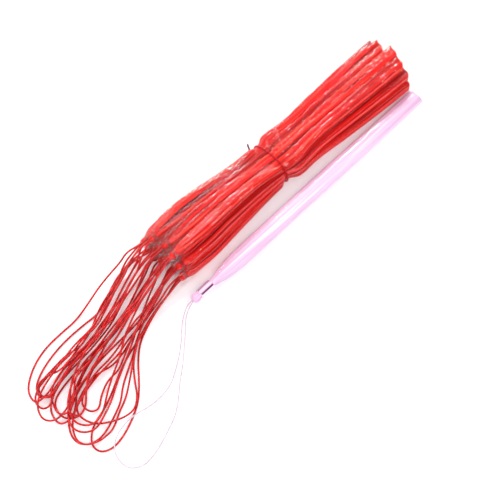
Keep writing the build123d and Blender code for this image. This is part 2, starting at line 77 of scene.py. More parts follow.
# ---- routes of the loop cords, in metres: out of the head, round the loop and back -------
LOOPS = (
    ((-0.0639, -0.004, 0.0023), (-0.0671, -0.0039, 0.0023), (-0.0725, -0.0055, 0.0015),
     (-0.078, -0.0065, 0.0005), (-0.084, -0.008, 0.0004), (-0.0905, -0.0105, 0.0004),
     (-0.097, -0.012, 0.0004), (-0.1035, -0.014, 0.0004), (-0.1105, -0.017, 0.0004),
     (-0.117, -0.0205, 0.0004), (-0.124, -0.0235, 0.0004), (-0.1305, -0.025, 0.0004),
     (-0.1355, -0.0285, 0.0004), (-0.1375, -0.0325, 0.0004), (-0.136, -0.036, 0.0004),
     (-0.1315, -0.0375, 0.0004), (-0.1255, -0.0365, 0.0004), (-0.118, -0.0335, 0.0004),
     (-0.112, -0.03, 0.0004), (-0.1065, -0.0245, 0.0004), (-0.1015, -0.0185, 0.0004),
     (-0.0955, -0.013, 0.0004), (-0.089, -0.01, 0.0004), (-0.082, -0.0075, 0.0004),
     (-0.0755, -0.006, 0.0009), (-0.071, -0.0055, 0.0017), (-0.0671, -0.0049, 0.0023),
     (-0.0639, -0.0048, 0.0023)),
    ((-0.0651, 0.0007, 0.0023), (-0.0683, 0.0008, 0.0023), (-0.073, -0.001, 0.0015),
     (-0.0795, -0.0025, 0.0005), (-0.086, -0.005, 0.0004), (-0.093, -0.0065, 0.0014),
     (-0.1005, -0.0065, 0.0004), (-0.108, -0.007, 0.0004), (-0.1155, -0.008, 0.0004),
     (-0.122, -0.0095, 0.0004), (-0.1295, -0.0125, 0.0004), (-0.1355, -0.016, 0.0004),
     (-0.1395, -0.021, 0.0004), (-0.1405, -0.0255, 0.0004), (-0.139, -0.0295, 0.0014),
     (-0.1345, -0.0315, 0.0014), (-0.129, -0.0305, 0.0004), (-0.1225, -0.028, 0.0004),
     (-0.117, -0.0255, 0.0004), (-0.1125, -0.0215, 0.0004), (-0.1065, -0.018, 0.0004),
     (-0.1005, -0.015, 0.0014), (-0.095, -0.011, 0.0014), (-0.0885, -0.0075, 0.0004),
     (-0.0815, -0.005, 0.0004), (-0.0745, -0.003, 0.0012), (-0.0715, -0.0015, 0.0019),
     (-0.0683, -0.0002, 0.0023), (-0.0651, -0.0001, 0.0023)),
    ((-0.0643, 0.0054, 0.0023), (-0.0675, 0.0055, 0.0023), (-0.073, 0.005, 0.0015),
     (-0.0795, 0.0035, 0.0005), (-0.0865, 0.0015, 0.0004), (-0.0945, -0.002, 0.0004),
     (-0.103, -0.0035, 0.0007), (-0.112, -0.0045, 0.0014), (-0.121, -0.0045, 0.0011),
     (-0.129, -0.0055, 0.0004), (-0.135, -0.0075, 0.0004), (-0.137, -0.011, 0.0004),
     (-0.1375, -0.015, 0.0014), (-0.1355, -0.018, 0.0014), (-0.1315, -0.019, 0.0004),
     (-0.127, -0.017, 0.0004), (-0.123, -0.012, 0.0007), (-0.1165, -0.0085, 0.0014),
     (-0.109, -0.0065, 0.0013), (-0.101, -0.005, 0.0004), (-0.093, -0.0025, 0.0004),
     (-0.0855, 0.0005, 0.0004), (-0.0775, 0.003, 0.0006), (-0.0725, 0.004, 0.0016),
     (-0.0675, 0.0045, 0.0023), (-0.0643, 0.0046, 0.0023)),
    ((-0.0657, 0.0101, 0.0023), (-0.0689, 0.0102, 0.0023), (-0.074, 0.0085, 0.0015),
     (-0.0805, 0.007, 0.0005), (-0.0875, 0.005, 0.0012), (-0.0955, 0.0015, 0.001),
     (-0.1025, -0.0005, 0.0019), (-0.111, -0.002, 0.0021), (-0.119, -0.002, 0.0004),
     (-0.127, -0.003, 0.0004), (-0.134, -0.005, 0.0004), (-0.1385, -0.009, 0.0004),
     (-0.14, -0.013, 0.0004), (-0.14, -0.0165, 0.0013), (-0.1375, -0.018, 0.0022),
     (-0.134, -0.0175, 0.0022), (-0.13, -0.0145, 0.0014), (-0.126, -0.0105, 0.0014),
     (-0.1195, -0.007, 0.0011), (-0.112, -0.005, 0.0021), (-0.1045, -0.0035, 0.0021),
     (-0.0965, -0.0015, 0.0013), (-0.089, 0.001, 0.0012), (-0.0815, 0.0045, 0.0004),
     (-0.0745, 0.0065, 0.0013), (-0.0689, 0.0092, 0.0023), (-0.0657, 0.0093, 0.0023)),
    ((-0.0647, 0.0148, 0.0023), (-0.0679, 0.0149, 0.0023), (-0.0735, 0.0155, 0.0014),
     (-0.0795, 0.015, 0.0005), (-0.086, 0.013, 0.0004), (-0.092, 0.01, 0.0004),
     (-0.0985, 0.008, 0.0004), (-0.1055, 0.0085, 0.0004), (-0.114, 0.0085, 0.0004),
     (-0.122, 0.0075, 0.0004), (-0.1295, 0.0055, 0.0004), (-0.1355, 0.0025, 0.0004),
     (-0.1375, -0.0005, 0.0004), (-0.137, -0.0035, 0.0011), (-0.1345, -0.005, 0.0013),
     (-0.1305, -0.0035, 0.0013), (-0.124, -0.0025, 0.0013), (-0.117, -0.0005, 0.0013),
     (-0.1095, 0.001, 0.0004), (-0.102, 0.0035, 0.0004), (-0.093, 0.0055, 0.0004),
     (-0.085, 0.009, 0.0004), (-0.0765, 0.012, 0.0008), (-0.072, 0.013, 0.0017),
     (-0.0679, 0.0139, 0.0023), (-0.0647, 0.014, 0.0023)),
    ((-0.0649, -0.0052, 0.0069), (-0.0681, -0.0051, 0.0069), (-0.072, -0.005, 0.0058),
     (-0.077, -0.006, 0.0036), (-0.0825, -0.0065, 0.0019), (-0.0885, -0.008, 0.0016),
     (-0.0945, -0.009, 0.0021), (-0.1015, -0.0115, 0.0018), (-0.109, -0.0125, 0.0004),
     (-0.116, -0.011, 0.0016), (-0.123, -0.012, 0.0016), (-0.129, -0.0145, 0.0022),
     (-0.1325, -0.0175, 0.0021), (-0.1325, -0.022, 0.0016), (-0.13, -0.0265, 0.0014),
     (-0.1255, -0.0295, 0.0014), (-0.121, -0.0315, 0.0013), (-0.116, -0.032, 0.0011),
     (-0.1115, -0.029, 0.0011), (-0.1075, -0.023, 0.0011), (-0.103, -0.0175, 0.0015),
     (-0.097, -0.013, 0.0024), (-0.0915, -0.0105, 0.0016), (-0.0845, -0.008, 0.0015),
     (-0.0785, -0.007, 0.0027), (-0.072, -0.007, 0.0057), (-0.0681, -0.0061, 0.0069),
     (-0.0649, -0.006, 0.0069)),
    ((-0.0637, 0.0001, 0.0069), (-0.0669, 0.0002, 0.0069), (-0.07, -0.001, 0.0062),
     (-0.073, -0.002, 0.0049), (-0.0785, -0.003, 0.0031), (-0.085, -0.0055, 0.003),
     (-0.0915, -0.0085, 0.0029), (-0.0985, -0.0095, 0.0031), (-0.105, -0.0115, 0.0029),
     (-0.1125, -0.0115, 0.0021), (-0.12, -0.0125, 0.0021), (-0.1265, -0.0145, 0.0031),
     (-0.133, -0.017, 0.0031), (-0.138, -0.021, 0.0029), (-0.1405, -0.0265, 0.0021),
     (-0.1385, -0.0305, 0.0021), (-0.1335, -0.0325, 0.0021), (-0.127, -0.032, 0.0004),
     (-0.121, -0.0285, 0.0004), (-0.115, -0.026, 0.0004), (-0.109, -0.022, 0.002),
     (-0.103, -0.0175, 0.0027), (-0.097, -0.0135, 0.0031), (-0.091, -0.009, 0.0029),
     (-0.084, -0.0065, 0.0031), (-0.0775, -0.0045, 0.0025), (-0.072, -0.0025, 0.0051),
     (-0.0669, -0.0008, 0.0069), (-0.0637, -0.0007, 0.0069)),
    ((-0.0659, 0.0054, 0.0069), (-0.0691, 0.0055, 0.0069), (-0.072, 0.0045, 0.0062),
     (-0.075, 0.003, 0.0048), (-0.0815, 0.001, 0.0019), (-0.0885, -0.002, 0.0051),
     (-0.0965, -0.003, 0.0029), (-0.105, -0.0035, 0.0029), (-0.1125, -0.0045, 0.0029),
     (-0.1195, -0.007, 0.0026), (-0.1255, -0.0095, 0.0021), (-0.132, -0.013, 0.0022),
     (-0.1365, -0.017, 0.0038), (-0.1385, -0.022, 0.0038), (-0.1365, -0.026, 0.003),
     (-0.132, -0.028, 0.0024), (-0.126, -0.026, 0.0021), (-0.1195, -0.023, 0.001),
     (-0.113, -0.019, 0.0011), (-0.106, -0.0155, 0.0014), (-0.098, -0.012, 0.004),
     (-0.091, -0.008, 0.0051), (-0.084, -0.0035, 0.0015), (-0.0775, -0.0005, 0.0029),
     (-0.0725, 0.001, 0.0054), (-0.0691, 0.0045, 0.0069), (-0.0659, 0.0046, 0.0069)),
    ((-0.0645, 0.0108, 0.0069), (-0.0677, 0.0109, 0.0069), (-0.073, 0.0135, 0.0049),
     (-0.0795, 0.0135, 0.0021), (-0.086, 0.0115, 0.0008), (-0.093, 0.009, 0.002),
     (-0.0995, 0.0055, 0.0025), (-0.1065, 0.004, 0.0017), (-0.1125, 0.002, 0.0012),
     (-0.1195, 0.003, 0.0023), (-0.126, 0.003, 0.0004), (-0.1315, 0.0025, 0.0004),
     (-0.136, 0.0005, 0.0018), (-0.1375, -0.0025, 0.0019), (-0.1365, -0.005, 0.0019),
     (-0.134, -0.006, 0.0017), (-0.1285, -0.004, 0.0023), (-0.1215, -0.002, 0.0023),
     (-0.114, -0.001, 0.002), (-0.1065, -0.0005, 0.0022), (-0.098, 0.0015, 0.0033),
     (-0.0895, 0.0045, 0.002), (-0.082, 0.008, 0.0024), (-0.0745, 0.0095, 0.0046),
     (-0.071, 0.01, 0.0061), (-0.0677, 0.0099, 0.0069), (-0.0645, 0.01, 0.0069)),
    ((-0.0653, 0.0161, 0.0069), (-0.0685, 0.0162, 0.0069), (-0.073, 0.018, 0.0054),
     (-0.0775, 0.017, 0.004), (-0.083, 0.017, 0.0021), (-0.0905, 0.0155, 0.0025),
     (-0.0985, 0.0135, 0.0014), (-0.106, 0.012, 0.0004), (-0.1145, 0.012, 0.0004),
     (-0.123, 0.0115, 0.0004), (-0.131, 0.009, 0.0004), (-0.138, 0.0045, 0.0004),
     (-0.1405, 0.0005, 0.0004), (-0.1405, -0.003, 0.0004), (-0.138, -0.0045, 0.0028),
     (-0.134, -0.004, 0.0028), (-0.1285, -0.0015, 0.0006), (-0.122, 0.0005, 0.0004),
     (-0.114, 0.0025, 0.0004), (-0.106, 0.004, 0.0004), (-0.098, 0.008, 0.0024),
     (-0.0905, 0.0105, 0.0025), (-0.083, 0.0125, 0.0024), (-0.076, 0.014, 0.005),
     (-0.072, 0.0145, 0.0061), (-0.0685, 0.0152, 0.0069), (-0.0653, 0.0153, 0.0069)),
    ((-0.0643, -0.0032, 0.0115), (-0.0675, -0.0031, 0.0115), (-0.0735, -0.0035, 0.0093),
     (-0.0795, -0.004, 0.0057), (-0.086, -0.006, 0.0057), (-0.093, -0.007, 0.0067),
     (-0.1005, -0.009, 0.0041), (-0.108, -0.0095, 0.0004), (-0.1155, -0.0105, 0.0023),
     (-0.122, -0.0125, 0.0039), (-0.127, -0.015, 0.004), (-0.1295, -0.0175, 0.003),
     (-0.1285, -0.021, 0.0013), (-0.125, -0.022, 0.0004), (-0.121, -0.0185, 0.0004),
     (-0.115, -0.016, 0.0018), (-0.109, -0.0155, 0.0004), (-0.1025, -0.0125, 0.0016),
     (-0.096, -0.0105, 0.006), (-0.089, -0.008, 0.0062), (-0.0825, -0.006, 0.0056),
     (-0.076, -0.0045, 0.0077), (-0.0715, -0.0045, 0.0103), (-0.0675, -0.0041, 0.0115),
     (-0.0643, -0.004, 0.0115)),
    ((-0.0655, 0.0026, 0.0115), (-0.0687, 0.0027, 0.0115), (-0.072, 0.002, 0.0107),
     (-0.075, 0.002, 0.0092), (-0.081, 0.0005, 0.0057), (-0.0875, -0.0015, 0.0065),
     (-0.095, -0.003, 0.0064), (-0.103, -0.005, 0.0063), (-0.1105, -0.0065, 0.0023),
     (-0.118, -0.009, 0.0023), (-0.1245, -0.0105, 0.0028), (-0.131, -0.013, 0.0038),
     (-0.1355, -0.017, 0.0039), (-0.136, -0.0215, 0.0039), (-0.1335, -0.0245, 0.0024),
     (-0.13, -0.026, 0.0024), (-0.1245, -0.024, 0.0014), (-0.119, -0.02, 0.0021),
     (-0.1125, -0.016, 0.0021), (-0.1065, -0.0135, 0.0039), (-0.099, -0.009, 0.0076),
     (-0.0915, -0.005, 0.0057), (-0.0845, -0.0025, 0.007), (-0.0785, -0.001, 0.0069),
     (-0.0725, 0.0, 0.0102), (-0.0687, 0.0017, 0.0115), (-0.0655, 0.0018, 0.0115)),
    ((-0.0639, 0.0083, 0.0115), (-0.0671, 0.0084, 0.0115), (-0.0705, 0.0085, 0.0107),
     (-0.0735, 0.0085, 0.0092), (-0.0795, 0.0075, 0.0055), (-0.086, 0.0055, 0.0037),
     (-0.0935, 0.0025, 0.0041), (-0.1025, 0.0005, 0.004), (-0.1115, -0.0005, 0.0038),
     (-0.1195, -0.0005, 0.0027), (-0.1275, -0.0015, 0.0031), (-0.134, -0.0045, 0.0031),
     (-0.1365, -0.0085, 0.0031), (-0.138, -0.0125, 0.0022), (-0.137, -0.016, 0.0045),
     (-0.133, -0.016, 0.0049), (-0.1285, -0.012, 0.0045), (-0.124, -0.0075, 0.0043),
     (-0.117, -0.0045, 0.0035), (-0.109, -0.004, 0.0038), (-0.101, -0.002, 0.004),
     (-0.092, -0.0005, 0.0039), (-0.0845, 0.002, 0.0036), (-0.0785, 0.0045, 0.0057),
     (-0.0725, 0.0065, 0.0094), (-0.0671, 0.0074, 0.0115), (-0.0639, 0.0075, 0.0115)),
    ((-0.0659, 0.014, 0.0115), (-0.0691, 0.0141, 0.0115), (-0.0725, 0.014, 0.0106),
     (-0.0775, 0.014, 0.0079), (-0.083, 0.012, 0.0044), (-0.088, 0.0095, 0.002),
     (-0.095, 0.007, 0.0009), (-0.1025, 0.0035, 0.0023), (-0.1105, 0.0025, 0.0055),
     (-0.1175, 0.001, 0.0046), (-0.1245, 0.0015, 0.0032), (-0.132, 0.001, 0.0026),
     (-0.138, -0.0005, 0.0026), (-0.141, -0.0035, 0.0023), (-0.141, -0.007, 0.0016),
     (-0.1385, -0.009, 0.0032), (-0.135, -0.0075, 0.0045), (-0.1315, -0.005, 0.0035),
     (-0.1275, -0.0035, 0.0032), (-0.12, -0.0015, 0.0039), (-0.1125, -0.0005, 0.0051),
     (-0.1045, 0.001, 0.0047), (-0.0965, 0.0035, 0.0011), (-0.089, 0.007, 0.0014),
     (-0.082, 0.009, 0.0044), (-0.075, 0.01, 0.0089), (-0.072, 0.0115, 0.0106),
     (-0.0691, 0.0131, 0.0115), (-0.0659, 0.0132, 0.0115)),
    ((-0.0647, -0.0001, 0.0161), (-0.0679, 0.0, 0.0161), (-0.071, 0.0005, 0.0153),
     (-0.074, -0.0005, 0.0139), (-0.0805, -0.001, 0.0098), (-0.0865, -0.0025, 0.0095),
     (-0.0935, -0.003, 0.0112), (-0.102, -0.005, 0.007), (-0.11, -0.0055, 0.0047),
     (-0.1175, -0.0065, 0.0043), (-0.1255, -0.008, 0.0054), (-0.1305, -0.011, 0.0038),
     (-0.134, -0.0145, 0.0056), (-0.1355, -0.018, 0.0056), (-0.133, -0.0205, 0.0046),
     (-0.129, -0.019, 0.0041), (-0.1245, -0.0145, 0.0048), (-0.119, -0.01, 0.0061),
     (-0.111, -0.008, 0.0054), (-0.103, -0.0075, 0.0055), (-0.095, -0.006, 0.0119),
     (-0.088, -0.004, 0.0088), (-0.0815, -0.0025, 0.0104), (-0.0745, -0.002, 0.0135),
     (-0.071, -0.0015, 0.0152), (-0.0679, -0.001, 0.0161), (-0.0647, -0.0009, 0.0161)),
    ((-0.0635, 0.0054, 0.0161), (-0.0667, 0.0055, 0.0161), (-0.07, 0.006, 0.0152),
     (-0.0735, 0.0065, 0.0134), (-0.079, 0.0065, 0.0098), (-0.0845, 0.0055, 0.0066),
     (-0.091, 0.004, 0.0053), (-0.098, 0.002, 0.0054), (-0.1045, -0.0005, 0.0045),
     (-0.112, -0.001, 0.0058), (-0.119, -0.0005, 0.0056), (-0.1255, -0.001, 0.0038),
     (-0.13, 0.001, 0.0035), (-0.134, 0.001, 0.0041), (-0.137, 0.0, 0.0036), (-0.139, -0.0035, 0.0035),
     (-0.1365, -0.0065, 0.005), (-0.132, -0.006, 0.005), (-0.127, -0.004, 0.0043),
     (-0.12, -0.0025, 0.0054), (-0.1125, -0.002, 0.0058), (-0.104, -0.001, 0.0048),
     (-0.096, 0.0015, 0.0054), (-0.0885, 0.003, 0.0061), (-0.0825, 0.0045, 0.0072),
     (-0.076, 0.0045, 0.0117), (-0.071, 0.005, 0.0148), (-0.0667, 0.0045, 0.0161),
     (-0.0635, 0.0046, 0.0161)),
    ((-0.0651, 0.011, 0.0161), (-0.0683, 0.0111, 0.0161), (-0.0725, 0.011, 0.0148),
     (-0.0765, 0.0115, 0.0125), (-0.081, 0.0095, 0.0102), (-0.086, 0.008, 0.0094),
     (-0.092, 0.007, 0.0063), (-0.099, 0.005, 0.0052), (-0.107, 0.002, 0.0078), (-0.115, 0.002, 0.0072),
     (-0.123, 0.001, 0.005), (-0.131, -0.0005, 0.0043), (-0.138, -0.003, 0.0047),
     (-0.142, -0.006, 0.0047), (-0.1435, -0.0095, 0.0013), (-0.142, -0.013, 0.0016),
     (-0.139, -0.0145, 0.0021), (-0.135, -0.014, 0.0021), (-0.131, -0.012, 0.0004),
     (-0.1265, -0.0075, 0.002), (-0.1205, -0.0045, 0.0039), (-0.1135, -0.0025, 0.0067),
     (-0.106, -0.0015, 0.0086), (-0.0985, 0.0, 0.0055), (-0.0905, 0.002, 0.0067),
     (-0.084, 0.0045, 0.011), (-0.078, 0.006, 0.0115), (-0.074, 0.008, 0.0146), (-0.071, 0.009, 0.0153),
     (-0.0683, 0.0101, 0.0161), (-0.0651, 0.0102, 0.0161)),
)
LOOP_LENGTHS = (0.1666, 0.1704, 0.1606, 0.1652, 0.155, 0.1567, 0.1731, 0.1669, 0.1566,
                0.164, 0.1439, 0.1602, 0.1661, 0.1678, 0.1578, 0.162, 0.1765)

LOOSE_LOOP = (
    (-0.0668, -0.01453, 0.0023), (-0.0698, -0.01453, 0.0023), (-0.0725, -0.015, 0.0013),
    (-0.0775, -0.018, 0.0005), (-0.0825, -0.023, 0.00025), (-0.0875, -0.027, 0.00025),
    (-0.0935, -0.031, 0.00025), (-0.099, -0.034, 0.00025), (-0.1055, -0.035, 0.00025),
    (-0.1115, -0.0345, 0.00025), (-0.117, -0.0335, 0.00115), (-0.122, -0.0335, 0.00115),
    (-0.127, -0.0345, 0.00115), (-0.1315, -0.037, 0.00115), (-0.134, -0.0415, 0.00115),
    (-0.134, -0.0455, 0.00025), (-0.1325, -0.0485, 0.00025), (-0.129, -0.0505, 0.00025),
    (-0.125, -0.0505, 0.00025), (-0.12, -0.0495, 0.00025), (-0.113, -0.047, 0.00025),
    (-0.1065, -0.0445, 0.00025), (-0.101, -0.0405, 0.00025), (-0.0955, -0.0355, 0.00025),
    (-0.0895, -0.031, 0.00025), (-0.085, -0.027, 0.00025), (-0.08, -0.0225, 0.0005),
    (-0.0755, -0.018, 0.0013), (-0.0698, -0.01507, 0.0023), (-0.0668, -0.01507, 0.0023),
)

# ---- cords and heads --------------------------------------------------------------------
CORD = 0.8 * MM
LOOSE_CORD = 0.5 * MM
CORD_PLIES = 3
PLY_GROOVE = 0.23              # depth of the groove between plies, as a share of the radius
PLY_CROWN = 1.35               # how full each ply stands between its grooves
CORD_LAY = 3.2 * MM            # one turn of the plies
LOOSE_CORD_LAY = 2.2 * MM
RING_STEP = 0.32 * MM          # between rings of points along a cord
KNOT_AT = 1.8 * MM             # from the ball's end to the knot
KNOT_MIDDLE = 1.15 * MM        # from there to the knot's middle
LOOSE_KNOT_MIDDLE = 1.2 * MM
KNOT_SIZE = 0.2 * MM           # a third of the knot's radius to the middle of its cord
KNOT_LENGTH = 0.8 * MM
KNOT_CORD = 0.34 * MM          # radius of the cord pulled tight in the knot

BALL = 1.55 * MM
NECK = 1.4 * MM
BINDING_AT = 2.0 * MM
BINDING_SHOWN = 1.8 * MM       # the skirt spreads over the rest of it
FLARE = (2.0 * MM, 7.0 * MM)   # where the skirt begins and ends its spread
LOOSE_BALL = 2.1 * MM
LOOSE_NECK = 1.7 * MM
LOOSE_BINDING_AT = 3.9 * MM
LOOSE_BINDING_LENGTH = 6.9 * MM
LOOSE_FLARE = (10.5 * MM, 16.5 * MM)
LOOSE_NECK_END = 11 * MM
BALL_RINGS = 13
BALL_START = math.radians(12)  # the hole where the loop comes out
PLEATS = 5                     # round the loose tassel's ribbon
# the phase turns the pleats, and the painted shade stripes in their valleys, round the neck
PLEAT_PHASE = -1.9
PLEAT_TWIST = 30 * MM          # how slowly the pleats wind round the neck

# ---- skirts and film --------------------------------------------------------------------
BUNDLE_AXIS = np.array((1.0, 0.0, 0.0))
ROWS = (5, 5, 4, 3)            # tassels in each row of the bundle, from the surface up
AROUND = 112                   # points round a thread skirt or a film sleeve
SECTION = (2.6, 2.1, 6.0)      # usual half sizes and squareness of a tassel's section
PERIMETER = 14.5 * MM          # round a tassel
CLOSER = 1.14                  # each tassel swells against its neighbours
INSET = 0.25 * MM              # from the outside of the film to the threads
LOWEST_THREAD = 0.25 * MM      # above the surface
LOWEST_FILM = 0.06 * MM
FILM_THICKNESS = 0.05 * MM
WHITENED = 0.2                 # how milky the film is along a sharp crease

LOCK_HEIGHT = 0.03 * MM        # locks of thread that stand up from a skirt
STRAND_HEIGHT = 0.06 * MM
SKIRT_SUNK = 0.04 * MM
FOLD_SPACING = 2.0 * MM        # between the lengthwise folds round a tassel
THREAD_FOLD = 0.17 * MM        # half width of a fold in the threads
FILM_FOLD = 0.2 * MM           # and in the film over it
FILM_FOLLOWS = 0.8             # how much of a fold's depth the film goes into
HEAD_FOLDS = 0.7               # how much of the folds' depth, and of the painted shade drawn along them, the ball has
WAVE_HEIGHT = 0.03 * MM
CREASE_SPACING = 2.0 * MM
CREASE = 0.18 * MM
CREASE_HEIGHT = 0.12 * MM
TIE_PLEAT_HEIGHT = 0.16 * MM
NEAR_TIE = 9 * MM              # each side of the tie, where it gathers the film

OPEN_MOUTH = 0.45 * MM         # how much wider the film stands at its mouth
OPEN_UP = 0.6                  # and how much of that it stands higher
CRUMPLE_REACH = 12 * MM
CRUMPLE_HEIGHT = 0.9 * MM
RAGGED_REACH = 14 * MM
RAGGED = (3, 3.2)              # how uneven the mouth is, and how far it is drawn back, in mm

TIP_REACH = 11 * MM            # where a skirt starts to narrow to its cut end
TIP_FAN = 0.08                 # how much wider the rows fan out at the cut ends
HEAD_FAN = 0.05                # and at the heads
FAN_NEAR = 0.2                 # how much of that fan the -Y side has
TIP_TRIM = (0.2 * MM, 0.2 * MM, 1.4 * MM, 1.6 * MM)    # cut shorter, row by row
TIP_SLANT = 1.1 * MM           # the cut runs back towards -Y
SLANT_REACH = 9 * MM
CUT_SHARES = (0.93, 0.8, 0.64, 0.46, 0.28, 0.12)       # rings of thread ends, each further in

# ---- tie ----------------------------------------------------------------------------------
SWELL = 0.07                   # how much the bundle swells beyond the tie
SWELL_AT = 7 * MM
SWELL_REACH = 5.5 * MM
TIE_FILL = (1.18, 1.06, 1.16, 1.42)    # how much wider each row is where the tie rounds it
TIE_FILL_BACK = 4 * MM         # that is widest this far back from the swell
TIE_FILL_REACH = 12 * MM
WIRE = 0.4 * MM                # radius of the tie wire
WIRE_SUNK = 0.06 * MM          # how far it presses into the film
WIRE_SWAY = 0.22 * MM          # it doesn't lie quite square
TIE_CORNER = 5.8 * MM
PINCH = 0.5 * MM               # how much tighter the wire pulls than its own size
HELD = 0.3 * MM                # half the width that the wire holds tight
LOOSENS_OVER = 2.6 * MM        # beyond that the tassels spread again
LOOSENS_BY = 1.1 * MM
LOOSENS_CURVE = 1.4
TAIL = ((-0.0052, 0.0149, 0.0051), (-0.0055, 0.0168, 0.0051), (-0.0038, 0.0195, 0.0055))
TAIL_STRAND = 0.23 * MM
TAIL_APART = 0.22 * MM         # from the tail's middle to each strand's
TAIL_LAY = 1.6 * MM

tie_low, tie_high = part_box("tie_ring")
TIE_MIDDLE = (Vector(tie_low) + Vector(tie_high)) / 2
TIE_AT = TIE_MIDDLE.x
TIE_HALF = ((tie_high[1] - tie_low[1]) / 2 - WIRE, (tie_high[2] - tie_low[2]) / 2 - WIRE)
TIED_POINTS = []               # the film's points under the tie, as (y, z)

# ---- light --------------------------------------------------------------------------------
AMBIENT = 0.86                 # light from all round the studio
MIRRORED_AMBIENT = 0.06        # what of it shows in gloss: the room beyond the lamps is dim
BOARD_GLOW = 0.28              # the card is lit through from below
BOARD_REACH = 3.0
FILM_LAYERS = 48               # that light may pass through, one behind the other
# name, place, size and watts of each lamp
LAMPS = (("key", (-0.45, 0.55, 0.8), (0.5, 0.3), 2.7),
         ("crest strip", (0.33, 0.53, 0.78), (0.7, 0.018), 3.2),
         ("fill", (-0.3, -0.6, 0.7), (0.4, 0.4), 1.9),
         ("low strip", (0.33, 0.8, 0.5), (0.7, 0.04), 2.4))


# ---- materials ----------------------------------------------------------------------------
def hex_colour(text):
    """An sRGB hex colour as the linear colour that a socket takes."""
    parts = [int(text[start:start + 2], 16) / 255 for start in (1, 3, 5)]
    linear = [part / 12.92 if part <= 0.04045 else ((part + 0.055) / 1.055) ** 2.4
              for part in parts]
    return (*linear, 1)


def add(tree, kind, inputs=None, stops=None, **settings):
    """Adds a node with its settings, its sockets' values or feeds, and a ramp's stops.  A
    node given as a feed means its first output."""
    node = tree.nodes.new("ShaderNode" + kind)
    for name, value in settings.items():
        setattr(node, name, value)
    for name, value in (inputs or {}).items():
        if isinstance(value, bpy.types.Node):
            value = value.outputs[0]
        if isinstance(value, bpy.types.NodeSocket):
            tree.links.new(value, node.inputs[name])
        else:
            node.inputs[name].default_value = value
    if stops:
        elements = node.color_ramp.elements
        while len(elements) < len(stops):
            elements.new(0.5)
        for element, (position, colour) in zip(elements, stops):
            element.position = position
            element.color = hex_colour(colour)
    return node


def new_material(name):
    material = bpy.data.materials.new(name)
    material.use_nodes = True
    material.node_tree.nodes.clear()
    return material, material.node_tree


def streaked(length, width):
    """The scale of a pattern drawn out along a piece: one streak's length and width in mm."""
    return 1 / (length * MM), 1 / (width * MM), 1 / (width * MM)


def rayon_threads(name, shades, lines, streaks, roughness, sheen):
    """Rayon thread, drawn in long silky strands: gloss that breaks up into lengthwise
    streaks.  One strand is 0.1 mm, drawn here as 0.55 mm so that it shows."""
    material, tree = new_material(name)
    place = add(tree, "Attribute", attribute_name="lay").outputs["Vector"]
    strand = add(tree, "Mapping", {"Vector": place, "Scale": streaked(45, 0.55)})
    lock = add(tree, "Mapping", {"Vector": place, "Scale": streaked(80, 1.3)})
    fine = add(tree, "TexNoise", {"Vector": strand, "Scale": 1, "Detail": 2, "Roughness": 0.6})
    broad = add(tree, "TexNoise", {"Vector": lock, "Scale": 1, "Detail": 3, "Roughness": 0.55})
    both = add(tree, "Mix", {"Factor": streaks, "A": broad, "B": fine})
    dark_line, light_line = lines
    colours = (dark_line, *shades, light_line)
    colour = add(tree, "ValToRGB", {"Fac": both.outputs["Result"]},
                 stops=tuple(zip((0.38, 0.44, 0.5, 0.56, 0.62), colours)))
    # painted shade: the thread colour is mixed towards the dark line colour as deep as the piece is
    # folded there
    worn = add(tree, "Attribute", attribute_name="worn").outputs["Fac"]
    folded = add(tree, "Mix", {"Factor": worn, "A": colour, "B": hex_colour(dark_line)},
                 data_type="RGBA")
    bump = add(tree, "Bump", {"Height": fine, "Strength": 0.6, "Distance": 0.15 * MM})
    shader = add(tree, "BsdfPrincipled",
                 {"Base Color": folded.outputs["Result"], "Roughness": roughness, "IOR": 1.53,
                  "Specular IOR Level": 0.22, "Sheen Weight": sheen, "Sheen Roughness": 0.35,
                  "Normal": bump})
    add(tree, "OutputMaterial", {"Surface": shader})
    return material


def polypropylene_film(name, mouth_cloud):
    """Polypropylene film, blown, slit and heat sealed: thin, clear and very glossy, with
    long fine crinkles, and cloudy where its mouth has been crumpled."""
    material, tree = new_material(name)
    place = add(tree, "Attribute", attribute_name="lay").outputs["Vector"]
    crinkle_place = add(tree, "Mapping", {"Vector": place, "Scale": streaked(60, 0.8)})
    crinkle = add(tree, "TexNoise",
                  {"Vector": crinkle_place, "Scale": 1, "Detail": 3, "Roughness": 0.5})
    bump = add(tree, "Bump", {"Height": crinkle, "Strength": 0.35, "Distance": 0.15 * MM})
    # it mirrors 2% face on, and up to 14% where it is seen edge on
    facing = add(tree, "LayerWeight", {"Blend": 0.5, "Normal": bump})
    edge = add(tree, "Math", {0: facing.outputs["Facing"], 1: 5.0}, operation="POWER")
    mirror = add(tree, "Math", {0: edge, 1: 0.12, 2: 0.02}, operation="MULTIPLY_ADD")
    crumple = add(tree, "TexNoise",
                  {"Vector": place, "Scale": 1 / (1.1 * MM), "Detail": 2, "Roughness": 0.6})
    from_mouth = add(tree, "SeparateXYZ", {"Vector": place})
    mouth = add(tree, "MapRange",
                {"Value": from_mouth.outputs["X"], "From Min": 0.0, "From Max": 8 * MM,
                 "To Min": mouth_cloud, "To Max": 0.0})
    crumpled = add(tree, "MapRange",
                   {"Value": crumple, "From Min": 0.5, "From Max": 0.62, "To Min": 0.0,
                    "To Max": mouth})
    worn = add(tree, "Attribute", attribute_name="worn").outputs["Fac"]
    milk = add(tree, "Math", {0: worn, 1: WHITENED, 2: crumpled}, operation="MULTIPLY_ADD")
    clear = add(tree, "BsdfTransparent", {"Color": hex_colour("#ffffff")})
    milky = add(tree, "BsdfDiffuse", {"Color": hex_colour("#f7eef0")})
    gloss = add(tree, "BsdfGlossy",
                {"Color": hex_colour("#ffffff"), "Roughness": 0.04, "Normal": bump})
    body = add(tree, "MixShader", {0: milk, 1: clear, 2: milky})
    film = add(tree, "MixShader", {0: mirror, 1: body, 2: gloss})
    add(tree, "OutputMaterial", {"Surface": film})
    return material


